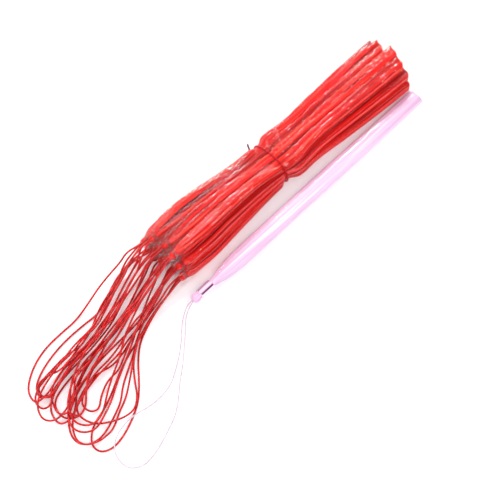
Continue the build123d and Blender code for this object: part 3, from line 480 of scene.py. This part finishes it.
def satin_cord(name, dark, light, roughness):
    """Nylon cord, spun from plies: satin gloss, with a fine fibre and slightly mottled dye."""
    material, tree = new_material(name)
    place = add(tree, "TexCoord").outputs["Object"]
    mottle = add(tree, "TexNoise",
                 {"Vector": place, "Scale": 1 / (1.5 * MM), "Detail": 3, "Roughness": 0.6})
    colour = add(tree, "ValToRGB", {"Fac": mottle},
                 stops=((0.3, dark), (0.7, light)))
    fibre = add(tree, "TexNoise",
                {"Vector": place, "Scale": 1 / (0.15 * MM), "Detail": 2, "Roughness": 0.5})
    bump = add(tree, "Bump", {"Height": fibre, "Strength": 0.4, "Distance": 0.05 * MM})
    shader = add(tree, "BsdfPrincipled",
                 {"Base Color": colour, "Roughness": roughness, "IOR": 1.53,
                  "Normal": bump})
    add(tree, "OutputMaterial", {"Surface": shader})
    return material


def coated_wire(name, dark, light):
    """Soft steel wire, coated with PVC: smooth, half glossy, scuffed here and there."""
    material, tree = new_material(name)
    place = add(tree, "TexCoord").outputs["Object"]
    scuff = add(tree, "TexNoise",
                {"Vector": place, "Scale": 1 / (0.8 * MM), "Detail": 4, "Roughness": 0.65})
    colour = add(tree, "ValToRGB", {"Fac": scuff},
                 stops=((0.35, dark), (0.65, light)))
    gloss = add(tree, "MapRange", {"Value": scuff, "To Min": 0.3, "To Max": 0.55})
    shader = add(tree, "BsdfPrincipled",
                 {"Base Color": colour, "Roughness": gloss, "IOR": 1.54,
                  "Specular IOR Level": 0.2})
    add(tree, "OutputMaterial", {"Surface": shader})
    return material


def matt_board(name):
    """White card, matt coated and lit through: an even pale ground with a faint tooth."""
    material, tree = new_material(name)
    place = add(tree, "TexCoord").outputs["Object"]
    tooth = add(tree, "TexNoise",
                {"Vector": place, "Scale": 1 / (0.5 * MM), "Detail": 2, "Roughness": 0.5})
    bump = add(tree, "Bump", {"Height": tooth, "Strength": 0.05, "Distance": 0.05 * MM})
    shader = add(tree, "BsdfPrincipled",
                 {"Base Color": hex_colour("#f0eeee"), "Roughness": 0.8,
                  "Specular IOR Level": 0.2, "Normal": bump,
                  "Emission Color": hex_colour("#f4faff"), "Emission Strength": BOARD_GLOW})
    add(tree, "OutputMaterial", {"Surface": shader})
    return material


# each dark line colour is a random streak shade and also the painted shade drawn along folds and pleat
# valleys
RED_THREADS = rayon_threads("rayon_thread_red", ("#c00a06", "#ea100a", "#f81c14"),
                            ("#4c0302", "#ff5444"), 0.55, 0.72, 0.0)
PINK_THREADS = rayon_threads("rayon_thread_pink", ("#f0c6e6", "#f3d1ee", "#f6dbf4"),
                             ("#c87fb4", "#fff8ff"), 0.4, 0.4, 0.05)
PINK_RIBBON = rayon_threads("satin_ribbon_pink", ("#dca4cc", "#f2cde8", "#fbe4f5"),
                            ("#5a2848", "#ffffff"), 0.35, 0.14, 0.0)
FILM = polypropylene_film("polypropylene_film_clear", 0.03)
RED_CORD = satin_cord("nylon_cord_red", "#9c080e", "#f01416", 0.28)
PINK_CORD = satin_cord("nylon_cord_pink", "#cab2c2", "#e4d2de", 0.45)
RED_WINDING = satin_cord("nylon_winding_red", "#8c080e", "#cc1216", 0.3)
TIE_WIRE = coated_wire("pvc_coated_wire_red", "#a00610", "#d40e18")
# the tail is drawn dark plum, much darker than the same wire round the ring
TAIL_WIRE = coated_wire("pvc_coated_wire_plum", "#2a1220", "#5a2a3e")
BOARD = matt_board("matt_card_white")


# ---- building blocks ------------------------------------------------------------------------
def turns(count):
    """Angles evenly round a full turn."""
    return np.arange(count) / count * FULL_TURN


def left_of(axis):
    """The level direction square to an axis."""
    return np.array((-axis[1], axis[0], 0.0))


def placed(along, left, high, axis):
    """Points from how far they lie along an axis, to its left and up."""
    return along[..., None] * axis + left[..., None] * left_of(axis) + high[..., None] * UP


def ease(values, start, end):
    """0 before start, 1 after end, and a smooth rise between."""
    share = np.clip((values - start) / (end - start), 0, 1)
    return share * share * (3 - 2 * share)


def skin(rings, capped=True):
    """Points and faces of a skin over rings of points, each ring joined to the next."""
    count, around = rings.shape[:2]
    points = rings.reshape(-1, 3)
    here = np.arange(count * around).reshape(count, around)
    beside = np.roll(here, -1, axis=1)
    faces = np.stack([here[:-1], beside[:-1], beside[1:], here[1:]], axis=-1)
    faces = faces.reshape(-1, 4).tolist()
    if capped:
        middles = np.array([rings[0].mean(axis=0), rings[-1].mean(axis=0)])
        points = np.concatenate([points, middles])
        first, last = len(points) - 2, len(points) - 1
        faces += [[first, b, a] for a, b in zip(here[0].tolist(), beside[0].tolist())]
        faces += [[last, a, b] for a, b in zip(here[-1].tolist(), beside[-1].tolist())]
    return points, faces


def make_piece(name, parts, material, body, replaced, lay=None, worn=None):
    """One object from its parts' points and faces, tied to the frame.  Its lay is each point's place
    along and around the piece, which the patterns of its material follow, and its second attribute is
    how sharply it is folded or creased there, from 0 to 1: on threads and ribbon it darkens the colour
    as painted shade in the folds, on film it makes the creases milky."""
    points, faces, start = [], [], 0
    for part_points, part_faces in parts:
        points.append(part_points)
        faces += [[start + index for index in face] for face in part_faces]
        start += len(part_points)
    mesh = bpy.data.meshes.new(name)
    mesh.from_pydata(np.concatenate(points).tolist(), [], faces)
    mesh.shade_smooth()
    mesh.materials.append(material)
    if lay is not None:
        followed = mesh.attributes.new("lay", "FLOAT_VECTOR", "POINT")
        followed.data.foreach_set("vector", np.asarray(lay, dtype=np.float32).ravel())
        folded = mesh.attributes.new("worn", "FLOAT", "POINT")
        folded.data.foreach_set("value", np.asarray(worn, dtype=np.float32).ravel())
    piece = bpy.data.objects.new(name, mesh)
    bpy.context.scene.collection.objects.link(piece)
    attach(piece, body)
    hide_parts(*replaced)
    return piece


def lay_of(rings, start, number, axis):
    """The lay of rings of points: distance from the start, and places on a round section.
    Each tassel's number moves it 20 mm on, to its own part of the patterns."""
    turn = turns(rings.shape[1])
    lay = np.empty(rings.shape)
    lay[..., 0] = rings @ axis - start
    lay[..., 1] = PERIMETER / FULL_TURN * np.cos(turn) + number * 20 * MM
    lay[..., 2] = PERIMETER / FULL_TURN * np.sin(turn)
    return lay.reshape(-1, 3)


def with_caps(lay):
    """A lay with the places of a skin's two end points added."""
    return np.concatenate([lay, lay[:1], lay[-1:]])


def evenly(line, step):
    """The same line with its points a step apart."""
    runs = np.linalg.norm(np.diff(line, axis=0), axis=1)
    done = np.concatenate([[0], np.cumsum(runs)])
    places = np.linspace(0, done[-1], math.ceil(done[-1] / step) + 1)
    return np.stack([np.interp(places, done, line[:, k]) for k in range(3)], axis=1), places


def sweep(line, around, radii):
    """Rings of points round a line, without twist, with one radius or one for each point."""
    ahead = np.gradient(line, axis=0)
    ahead /= np.linalg.norm(ahead, axis=1)[:, None]
    side = np.cross(ahead[0], UP)
    if np.linalg.norm(side) < 0.1:
        side = np.array((0.0, 1.0, 0.0))
    sides = []
    for direction in ahead:
        side = side - direction * (side @ direction)
        side = side / np.linalg.norm(side)
        sides.append(side)
    sides = np.array(sides)
    ups = np.cross(ahead, sides)
    turn = turns(around)
    out = (sides[:, None] * np.cos(turn)[None, :, None]
           + ups[:, None] * np.sin(turn)[None, :, None])
    return line[:, None] + out * np.broadcast_to(radii, (len(line), around))[:, :, None]


def plied(line, radius, lay):
    """Skin of a cord whose plies twist round its line."""
    line, places = evenly(line, RING_STEP)
    swing = CORD_PLIES / 2 * (turns(12)[None] + FULL_TURN * places[:, None] / lay)
    radii = radius * (1 - PLY_GROOVE + PLY_GROOVE * np.abs(np.cos(swing)) * PLY_CROWN)
    return skin(sweep(line, 12, radii)), line


def nurbs_line(name, points):
    """The smooth line of a cord whose route is given by those control points."""
    curve = bpy.data.curves.new(name, "CURVE")
    curve.dimensions = "3D"
    curve.resolution_u = 12
    spline = curve.splines.new("NURBS")
    spline.points.add(len(points) - 1)
    for point, place in zip(spline.points, points):
        point.co = (*place, 1)
    spline.order_u = 3
    spline.use_endpoint_u = True
    holder = bpy.data.objects.new(name, curve)
    bpy.context.scene.collection.objects.link(holder)
    mesh = bpy.data.meshes.new_from_object(holder)
    line = np.array([vertex.co for vertex in mesh.vertices])
    bpy.data.meshes.remove(mesh)
    bpy.data.objects.remove(holder)
    bpy.data.curves.remove(curve)
    return line


def sections_of(node, axis):
    """Place along the axis, middle and half sizes, wherever the node has a ring of points."""
    points = np.array([vertex.co for vertex in frame["nodes"][node].data.vertices])
    local = np.stack([points @ axis, points @ left_of(axis), points[:, 2]], axis=1)
    places = np.round(local[:, 0] / (0.02 * MM)).astype(int)
    rows = []
    for place in np.unique(places):
        ring = local[places == place]
        if len(ring) >= 16:
            low, high = ring.min(axis=0), ring.max(axis=0)
            middle, half = (low + high) / 2, (high - low) / 2
            rows.append((middle[0], middle[1], middle[2], half[1], half[2]))
    return np.array(rows)


def rounded_table(table, places):
    """A table's values at closely spaced places, with its corners rounded off."""
    step = 0.25 * MM
    reach = 2.2 * MM
    beyond = 12 * MM
    fine = np.arange(table[0, 0] - beyond, table[-1, 0] + beyond, step)
    weights = np.exp(-(np.arange(-32, 33) * step / reach) ** 2 / 2)
    weights /= weights.sum()
    columns = [places]
    for column in table.T[1:]:
        values = np.interp(fine, table[:, 0], column)
        columns.append(np.interp(places, fine, np.convolve(values, weights, mode="same")))
    return np.stack(columns, axis=1)


def squared(turn, power):
    """How far across and up a point of a rounded square is, for its turn and squareness."""
    wide = np.sign(np.cos(turn)) * np.abs(np.cos(turn)) ** (2 / power)
    return wide, np.sign(np.sin(turn)) * np.abs(np.sin(turn)) ** (2 / power)


def even_turns(count):
    """Turns round a tassel's section that put its points evenly along its outline."""
    fine = np.linspace(0, FULL_TURN, 2001)
    half_width, half_height, power = SECTION
    wide, high = squared(fine, power)
    outline = np.stack([half_width * wide, half_height * high])
    run = np.concatenate([[0], np.cumsum(np.linalg.norm(np.diff(outline, axis=1), axis=0))])
    return np.interp(np.arange(count) / count, run / run[-1], fine)


def slow_wave(rng, places, shortest, longest, phases):
    """A wave along a tassel, with a length in mm and a phase of its own."""
    return np.sin(places / (rng.uniform(shortest, longest) * MM) + rng.uniform(0, phases))


def ridges(rng, places, counts, drift):
    """Lengthwise ridges: a height from -1 to 1 for each place along and way round."""
    height = np.zeros((len(places), AROUND))
    for count in counts:
        wander = drift * slow_wave(rng, places, 14, 40, 6.28)
        height += np.cos(count * turns(AROUND)[None] + rng.uniform(0, 6.28)
                         + count * wander[:, None] / 3)
    return height / len(counts)


def lines_along(rng, places, spacing, width, fading):
    """Narrow lines that wander along a tassel, a height from 0 to 1 across each."""
    way = np.arange(AROUND) / AROUND * PERIMETER
    number = round(PERIMETER / spacing)
    height = np.zeros((len(places), AROUND))
    for line in range(number):
        start = (line + rng.uniform(-0.4, 0.4)) * PERIMETER / number
        wander = start + 0.15 * MM * slow_wave(rng, places, 14, 40, 6)
        off = np.abs(way[None] - wander[:, None]) % PERIMETER
        off = np.minimum(off, PERIMETER - off)
        fade = 1 - fading * (0.5 + 0.5 * slow_wave(rng, places, 8, 20, 6))
        depth = rng.uniform(0.4, 1) * fade[:, None]
        height = np.maximum(height, depth * np.exp(-(off / width) ** 2))
    return height


def loft(table, turn, power, bulge, axis):
    """Rings of points on the table's sections, pushed out from them by bulge."""
    turned = turn[None] + np.zeros((len(table), 1))
    wide, high = squared(turned, np.broadcast_to(power, (len(table),))[:, None])
    left = wide * table[:, 3, None] + np.cos(turned) * bulge + table[:, 1, None]
    up = high * table[:, 4, None] + np.sin(turned) * bulge + table[:, 2, None]
    return placed(table[:, 0, None], left, up, axis)


def stations(stops, steps):
    """Places from each stop to the next, with that stretch's own step in mm."""
    return np.concatenate([np.arange(start, end, step * MM)
                           for start, end, step in zip(stops, stops[1:], steps)])


def swelled(table, row):
    """The sections of a tied tassel: they fill the tie, swell beyond it, and fan out."""
    away = table[:, 0] - TIE_AT - SWELL_AT
    swell = 1 + SWELL * np.exp(-(away / SWELL_REACH) ** 2)
    filled = np.exp(-((away + TIE_FILL_BACK) / TIE_FILL_REACH) ** 2)
    widen = swell * (1 + (TIE_FILL[row] - 1) * filled)
    fan = TIP_FAN * ease(table[:, 0], TIE_AT, 30 * MM)
    fan += HEAD_FAN * ease(-table[:, 0], 20 * MM, 50 * MM)
    widen += fan * np.where(table[:, 1] > TIE_MIDDLE.y - 1 * MM, 1, FAN_NEAR)
    grown = table.copy()
    grown[:, 1] = TIE_MIDDLE.y + (table[:, 1] - TIE_MIDDLE.y) * widen
    grown[:, 2] = TIE_MIDDLE.z + (table[:, 2] - TIE_MIDDLE.z) * swell
    grown[:, 3] *= widen * CLOSER
    grown[:, 4] *= swell * CLOSER
    return grown


def squeezed(rings, margin):
    """The points of a tied tassel, pressed inside the tie where it goes round them."""
    offset = rings - np.array(TIE_MIDDLE)
    corner = TIE_CORNER - WIRE - margin
    half = np.array((TIE_HALF[0] - WIRE - margin, TIE_HALF[1] - WIRE - margin)) - corner - PINCH
    over = np.abs(offset[..., 1:]) - half
    out = np.maximum(over, 0)
    far = np.linalg.norm(out, axis=-1)
    beyond = far + np.minimum(over.max(axis=-1), 0) - corner
    from_wire = np.maximum(np.abs(offset[..., 0]) - HELD, 0)
    slack = (from_wire / LOOSENS_OVER) ** LOOSENS_CURVE * LOOSENS_BY
    press = np.maximum(beyond - slack, 0)
    toward = np.where(far[..., None] > 0, out / np.maximum(far, 1e-9)[..., None], 0)
    rings = rings.copy()
    rings[..., 1:] -= np.sign(offset[..., 1:]) * toward * press[..., None]
    return rings


def tied(rings, margin, places, turn, cut, row):
    """The points of a tied tassel, inside the tie and cut back at a slant for its row."""
    slanted = ease(places, cut - SLANT_REACH, cut)[:, None, None]
    back = TIP_SLANT * (1 - np.cos(turn)) + TIP_TRIM[row] - TIP_SLANT
    return squeezed(rings, margin) - slanted * back[None, :, None] * BUNDLE_AXIS


# ---- a tassel's pieces ----------------------------------------------------------------------
def thread_piece(name, node, rng, seed, head_end, middle, ball, neck, flare, sections,
                 axis, material, body, tip_pinch, power, fold_depth, row=None):
    """Threads of one tassel: ball, bound neck, and skirt down to the cut ends."""
    cut = sections[-1, 0]
    flare_start, flare_end = head_end + flare[0], head_end + flare[1]
    round_ball = np.linspace(BALL_START, math.pi - math.asin(neck / ball), BALL_RINGS)
    ball_places = head_end + ball * (1 - np.cos(round_ball))
    ball_radii = ball * np.sin(round_ball)
    rest = stations((ball_places[-1] + 0.3 * MM, flare_end, TIE_AT - NEAR_TIE,
                     TIE_AT + NEAR_TIE, cut - 1 * MM), (0.7, 1.5, 0.75, 1.6))
    rest = np.concatenate([rest, [cut - 0.5 * MM, cut]])
    table = rounded_table(sections, rest)
    if row is not None:
        table = swelled(table, row)
    spread = ease(rest, flare_start, flare_end)
    pinch = 1 - tip_pinch * ease(rest, cut - TIP_REACH, cut)
    for column in (3, 4):
        table[:, column] = (neck + (table[:, column] - neck) * spread) * pinch
    for column in (1, 2):
        table[:, column] = middle[column - 1] + (table[:, column] - middle[column - 1]) * spread
    head = np.stack([ball_places, np.full(BALL_RINGS, middle[0]), np.full(BALL_RINGS, middle[1]),
                     ball_radii, ball_radii], axis=1)
    table = np.concatenate([head, table])
    places = table[:, 0]
    turn = even_turns(AROUND)
    locks = ridges(rng, places, (7, 11, 16), 0.5) * LOCK_HEIGHT
    strands = ridges(rng, places, (23, 31, 38), 0.3) * STRAND_HEIGHT
    folds = lines_along(np.random.default_rng(seed), places, FOLD_SPACING, THREAD_FOLD, 0.5)
    roundness = 2 + (power - 2) * ease(places, flare_start, flare_end + 3 * MM)
    folds *= (ease(places, flare_start, flare_end) + HEAD_FOLDS * (places < flare_start))[:, None]
    bulge = (locks + strands) * np.clip(table[:, 3, None] / neck, 0.2, 1) - SKIRT_SUNK
    rings = loft(table, turn, roundness, bulge - folds * fold_depth, axis)
    if row is not None:
        rings = tied(rings, INSET, places, turn, cut, row)
    rings[..., 2] = np.maximum(rings[..., 2], LOWEST_THREAD)
    uneven = rng.uniform(-0.45, 0.15, AROUND)[:, None] * MM * axis
    rings[-1] += uneven
    ends = []
    middle_of_cut = rings[-1].mean(axis=0)
    for share in CUT_SHARES:
        ring = middle_of_cut + (rings[-1] - uneven - middle_of_cut) * share
        ends.append(ring + rng.uniform(-0.5, 0.2, AROUND)[:, None] * MM * axis)
    rings = np.concatenate([rings, np.array(ends)])
    lay = with_caps(lay_of(rings, head_end, seed, axis))
    # painted shade: the folds' depth, raised to 1.5, darkens the threads along them
    worn = np.concatenate([folds.ravel(), np.zeros(len(CUT_SHARES) * AROUND + 2)]) ** 1.5
    make_piece(name, [skin(rings)], material, body, [node], lay, worn)


def crumpling(angle, start, across, along):
    """Smooth noise round a film's mouth, from -1 to 1."""
    return noise.noise(Vector((across * math.cos(angle) + start, across * math.sin(angle), along)))


def film_piece(name, node, rng, seed, sections, axis, body, tip_pinch, power, crumple,
               mouth_slant, fold_depth, row=None):
    """Clear film sleeve: lengthwise creases, fine pleats at the tie, a crumpled mouth."""
    mouth, cut = sections[0, 0], sections[-1, 0]
    places = stations((mouth, mouth + RAGGED_REACH, TIE_AT - NEAR_TIE, TIE_AT + NEAR_TIE,
                       cut - 6 * MM, cut + 0.1 * MM), (0.5, 1.3, 0.6, 1.4, 0.7))
    table = rounded_table(sections, places)
    if row is not None:
        table = swelled(table, row)
        opened = OPEN_MOUTH * (1 - ease(places, mouth + 8 * MM, mouth + 15 * MM))
        table[:, 3] += opened
        table[:, 4] += opened * OPEN_UP
    table[:, 3:] *= (1 - tip_pinch * ease(places, cut - TIP_REACH, cut - 1.5 * MM))[:, None]
    turn = even_turns(AROUND)
    # broad lengthwise waves, the threads' folds, and narrow creases that stand up
    waves = ridges(rng, places, (3, 5, 8), 0.6) * WAVE_HEIGHT
    folds = lines_along(np.random.default_rng(seed), places, FOLD_SPACING, FILM_FOLD, 0.5)
    creases = lines_along(rng, places, CREASE_SPACING, CREASE, 0.7)
    bulge = waves - folds * fold_depth * FILM_FOLLOWS + creases * CREASE_HEIGHT
    if row is not None:
        near_tie = np.exp(-((places - TIE_AT) / NEAR_TIE) ** 2)
        bulge += ridges(rng, places, (11, 14, 19), 0.5) * near_tie[:, None] * TIE_PLEAT_HEIGHT
    near_mouth = np.clip(1 - (places - mouth) / CRUMPLE_REACH, 0, 1)[:, None]
    start = rng.uniform(0, 50)
    crumples = np.array([[1 - 3 * abs(crumpling(angle, start, 2.1, place / (2.2 * MM)))
                          for angle in turn] for place in places])
    bulge += near_mouth * crumples * crumple * CRUMPLE_HEIGHT
    roundness = 2 + (power - 2) * ease(places, mouth + 1 * MM, mouth + 9 * MM)
    rings = loft(table, turn, roundness, bulge, axis)
    if row is not None:
        rings = tied(rings, 0.03 * MM, places, turn, cut, row)
    # the ragged mouth, and the straight cut at the other end
    uneven, drawn_back = RAGGED
    ragged = np.array([crumpling(angle, start, 2.2, 9) for angle in turn]) * uneven - drawn_back
    pull = np.clip(1 - (places - mouth) / RAGGED_REACH, 0, 1)[:, None]
    shift = pull * (ragged[None] * crumple + mouth_slant * np.cos(turn)[None]) * MM
    rings = rings + shift[..., None] * axis
    rings[-1] += 0.35 * MM * axis
    rings[..., 2] = np.maximum(rings[..., 2], LOWEST_FILM)
    if row is not None:
        at_tie = np.abs(rings[..., 0] - TIE_AT) < 0.6 * MM
        TIED_POINTS.extend(rings[at_tie][:, 1:].tolist())
    film = make_piece(name, [skin(rings, capped=False)], FILM, body, [node],
                      lay_of(rings, mouth, seed, axis), creases ** 2 * (1 - near_mouth))
    wall = film.modifiers.new("film_thickness", "SOLIDIFY")
    wall.thickness = FILM_THICKNESS
    wall.offset = -1


def cord_piece(name, node, points, diameter, material, body, lay):
    """One loop cord, plied round the smooth line of its route."""
    part, path = plied(nurbs_line(name, points), diameter / 2, lay)
    cord = make_piece(name, [part], material, body, [node])


def winding(middle, start, axis):
    """Thread wound round a red tassel's neck, turn beside turn."""
    thread = (BALL - NECK) / 2
    wound = BINDING_SHOWN / (thread * 1.75)
    count = math.ceil(wound * 22)
    share = np.arange(count + 1) / count
    angle = share * wound * FULL_TURN
    line = placed(start + thread + share * (BINDING_SHOWN - 2 * thread),
                  middle[0] + (NECK + thread) * np.cos(angle),
                  middle[1] + (NECK + thread) * np.sin(angle), axis)
    return skin(sweep(line, 6, thread))


def ribbon(middle, start, axis):
    """Satin ribbon laid lengthwise round the loose neck, in soft pleats, with painted shade: dark
    stripes drawn along the pleat valleys.
    """
    count = 24
    places = np.linspace(start, start + LOOSE_BINDING_LENGTH, count)
    end = np.minimum(places - start, start + LOOSE_BINDING_LENGTH - places)
    radius = LOOSE_BALL - 0.3 * MM * np.exp(-(end / (0.5 * MM)) ** 2)
    table = np.stack([places, np.full(count, middle[0]), np.full(count, middle[1]), radius,
                      radius], axis=1)
    turn = turns(72)
    pleats = np.cos(PLEATS * turn[None] + PLEAT_PHASE + (places[:, None] - start) / PLEAT_TWIST)
    rings = loft(table, turn, 2, pleats * 0.12 * MM - 0.1 * MM, axis)
    # painted shade: how dark each pleat valley is drawn, towards the ribbon's dark line colour
    dark = np.concatenate([np.clip(-pleats, 0, 1).ravel() ** 3, (0, 0)])
    return skin(rings), with_caps(lay_of(rings, start, 5, axis)), dark


def knot(middle, place, axis):
    """The loop's two ends tied in a small round knot inside the head."""
    turn = np.arange(61) / 60 * FULL_TURN
    line = placed(place + KNOT_LENGTH * np.sin(3 * turn),
                  middle[0] + KNOT_SIZE * (np.sin(turn) + 2 * np.sin(2 * turn)),
                  middle[1] + KNOT_SIZE * (np.cos(turn) - 2 * np.cos(2 * turn)), axis)
    return skin(sweep(line, 8, KNOT_CORD))


# ---- the object -----------------------------------------------------------------------------
def red_tassels():
    bindings, knots = [], []
    for number, (points, length) in enumerate(zip(LOOPS, LOOP_LENGTHS), start=1):
        tag = f"{number:02d}"
        rng = np.random.default_rng(100 + number)
        seed = 300 + number
        sleeve = sections_of(f"film_sleeve_{tag}", BUNDLE_AXIS)
        inside = sleeve.copy()
        inside[:, 3:] -= INSET
        head_end = points[0][0] - KNOT_AT
        middle = sleeve[0, 1:3]
        row = int(np.searchsorted(np.cumsum(ROWS), number))
        power = rng.uniform(6.0, 8.0)
        fold_depth = rng.uniform(0.22, 0.34) * MM
        tip_pinch = rng.uniform(0.02, 0.05)
        thread_piece(f"red_threads_{tag}", f"thread_skirt_{tag}", rng, seed, head_end,
                     middle, BALL, NECK, FLARE, inside, BUNDLE_AXIS, RED_THREADS,
                     "tied_bundle", tip_pinch, power, fold_depth, row)
        film_piece(f"film_wrap_{tag}", f"film_sleeve_{tag}", rng, seed, sleeve, BUNDLE_AXIS,
                   "tied_bundle", tip_pinch, power, 0.7, 0.0, fold_depth, row)
        cord_piece(f"loop_cord_{tag}", f"hang_loop_{tag}", points, CORD,
                   RED_CORD, "tied_bundle", CORD_LAY)
        bindings.append(winding(middle, head_end + BINDING_AT, BUNDLE_AXIS))
        knots.append(knot(middle, head_end + KNOT_AT + KNOT_MIDDLE, BUNDLE_AXIS))
    make_piece("wound_necks", bindings, RED_WINDING, "tied_bundle",
               ["neck_bindings"])
    make_piece("loop_knots", knots, RED_CORD, "tied_bundle", ["cord_knots"])


def loose_tassel():
    axis = np.array(next(joint["axis"] for joint in frame["record"]["behaviour"]["joints"]
                         if joint["name"] == "loose_film_pull"))
    axis /= np.linalg.norm(axis)
    rng = np.random.default_rng(7)
    seed = 400
    sleeve = sections_of("loose_film_sleeve", axis)
    middle = sleeve[0, 1:3]
    head_end = sections_of("loose_neck_binding", axis)[0, 0] - LOOSE_BINDING_AT
    skirt = sections_of("loose_thread_skirt", axis)
    skirt = skirt[skirt[:, 0] > head_end + LOOSE_NECK_END - 0.1 * MM]
    thread_piece("pink_threads", "loose_thread_skirt", rng, seed, head_end, middle,
                 LOOSE_BALL, LOOSE_NECK, LOOSE_FLARE, skirt, axis, PINK_THREADS,
                 "loose_tassel", 0.02, 2.3, 0.1 * MM)
    film_piece("loose_film", "loose_film_sleeve", rng, seed, sleeve, axis, "loose_film", 0.0,
               2.2, 0.15, 3.0, 0.05 * MM)
    cord_piece("pink_loop_cord", "loose_hang_loop", LOOSE_LOOP, LOOSE_CORD,
               PINK_CORD, "loose_tassel", LOOSE_CORD_LAY)
    wrapped, lay, dark = ribbon(middle, head_end + LOOSE_BINDING_AT, axis)
    make_piece("pink_wound_neck", [wrapped], PINK_RIBBON, "loose_tassel",
               ["loose_neck_binding"], lay, dark)
    tied_end = knot(middle, head_end + KNOT_AT + LOOSE_KNOT_MIDDLE, axis)
    make_piece("pink_loop_knot", [tied_end], PINK_CORD, "loose_tassel",
               ["loose_cord_knot"])


def hull(points):
    """The taut outline round those points in a plane, anticlockwise."""
    points = sorted(map(tuple, points))
    sides = []
    for order in (points, points[::-1]):
        side = []
        for point in order:
            while len(side) > 1:
                run = (side[-1][0] - side[-2][0], side[-1][1] - side[-2][1])
                away = (point[0] - side[-1][0], point[1] - side[-1][1])
                if run[0] * away[1] - run[1] * away[0] > 0:
                    break
                side.pop()
            side.append(point)
        sides += side[:-1]
    return np.array(sides)


def wire_tie():
    """One turn of coated wire pulled tight round the waist, and its twisted tail."""
    corners = hull(TIED_POINTS)
    closed = np.concatenate([corners, corners[:1]])
    line = evenly(np.insert(closed, 0, TIE_AT, axis=1), 0.4 * MM)[0][:-1]
    for smoothing in range(6):
        line = (np.roll(line, 1, axis=0) + 2 * line + np.roll(line, -1, axis=0)) / 4
    along = np.roll(line, -1, axis=0) - np.roll(line, 1, axis=0)
    outward = np.stack([0 * along[:, 0], along[:, 2], -along[:, 1]], axis=1)
    line += outward / np.linalg.norm(outward, axis=1)[:, None] * (WIRE - WIRE_SUNK)
    line[:, 0] += WIRE_SWAY * np.sin(3 * turns(len(line)))
    rings = sweep(np.concatenate([line, line[:1]]), 12, WIRE)[:-1]
    points = rings.reshape(-1, 3)
    here = np.arange(len(points)).reshape(len(rings), 12)
    ahead, beside = np.roll(here, -1, axis=0), np.roll(here, -1, axis=1)
    faces = np.stack([here, beside, np.roll(beside, -1, axis=0), ahead], axis=-1)
    make_piece("wire_tie", [(points, faces.reshape(-1, 4).tolist())], TIE_WIRE,
               "tied_bundle", ["tie_ring"])
    tail, places = evenly(nurbs_line("tail", TAIL), 0.15 * MM)
    strands = []
    for half_turn in (0, math.pi):
        angle = half_turn + places / TAIL_LAY * FULL_TURN
        offset = np.stack([np.cos(angle), 0 * angle, np.sin(angle)], axis=1) * TAIL_APART
        strands.append(skin(sweep(tail + offset, 8, TAIL_STRAND)))
    make_piece("wire_tail", strands, TAIL_WIRE, "tied_bundle", ["tie_tail"])


def studio():
    """White card lit by a soft key on the left, two strips behind that draw the streaks of
    gloss along the film, a weak fill from the front, and an even sky."""
    mesh = bpy.data.meshes.new("ground")
    corners = [(x * BOARD_REACH, y * BOARD_REACH, 0) for x, y in ((-1, -1), (1, -1), (1, 1), (-1, 1))]
    mesh.from_pydata(corners, [], [(0, 1, 2, 3)])
    mesh.materials.append(BOARD)
    ground = bpy.data.objects.new("ground", mesh)
    bpy.context.scene.collection.objects.link(ground)
    for name, place, size, watts in LAMPS:
        light = bpy.data.lights.new(name, "AREA")
        light.shape = "RECTANGLE"
        light.size, light.size_y = size
        light.energy = watts
        lamp = bpy.data.objects.new(name, light)
        bpy.context.scene.collection.objects.link(lamp)
        lamp.location = place
        lamp.rotation_mode = "QUATERNION"
        lamp.rotation_quaternion = (-Vector(place)).to_track_quat("-Z", "Y")
    world = bpy.data.worlds.new("studio")
    bpy.context.scene.world = world
    world.use_nodes = True
    tree = world.node_tree
    ray = add(tree, "LightPath")
    strength = add(tree, "MapRange", {"Value": ray.outputs["Is Glossy Ray"], "To Min": AMBIENT,
                                      "To Max": MIRRORED_AMBIENT})
    sky = tree.nodes["Background"]
    sky.inputs["Color"].default_value = hex_colour("#fafbfd")
    tree.links.new(strength.outputs[0], sky.inputs["Strength"])
    bpy.context.scene.view_settings.view_transform = "Standard"
    bpy.context.scene.cycles.transparent_max_bounces = FILM_LAYERS


place_camera()
red_tassels()
loose_tassel()
wire_tie()
studio()
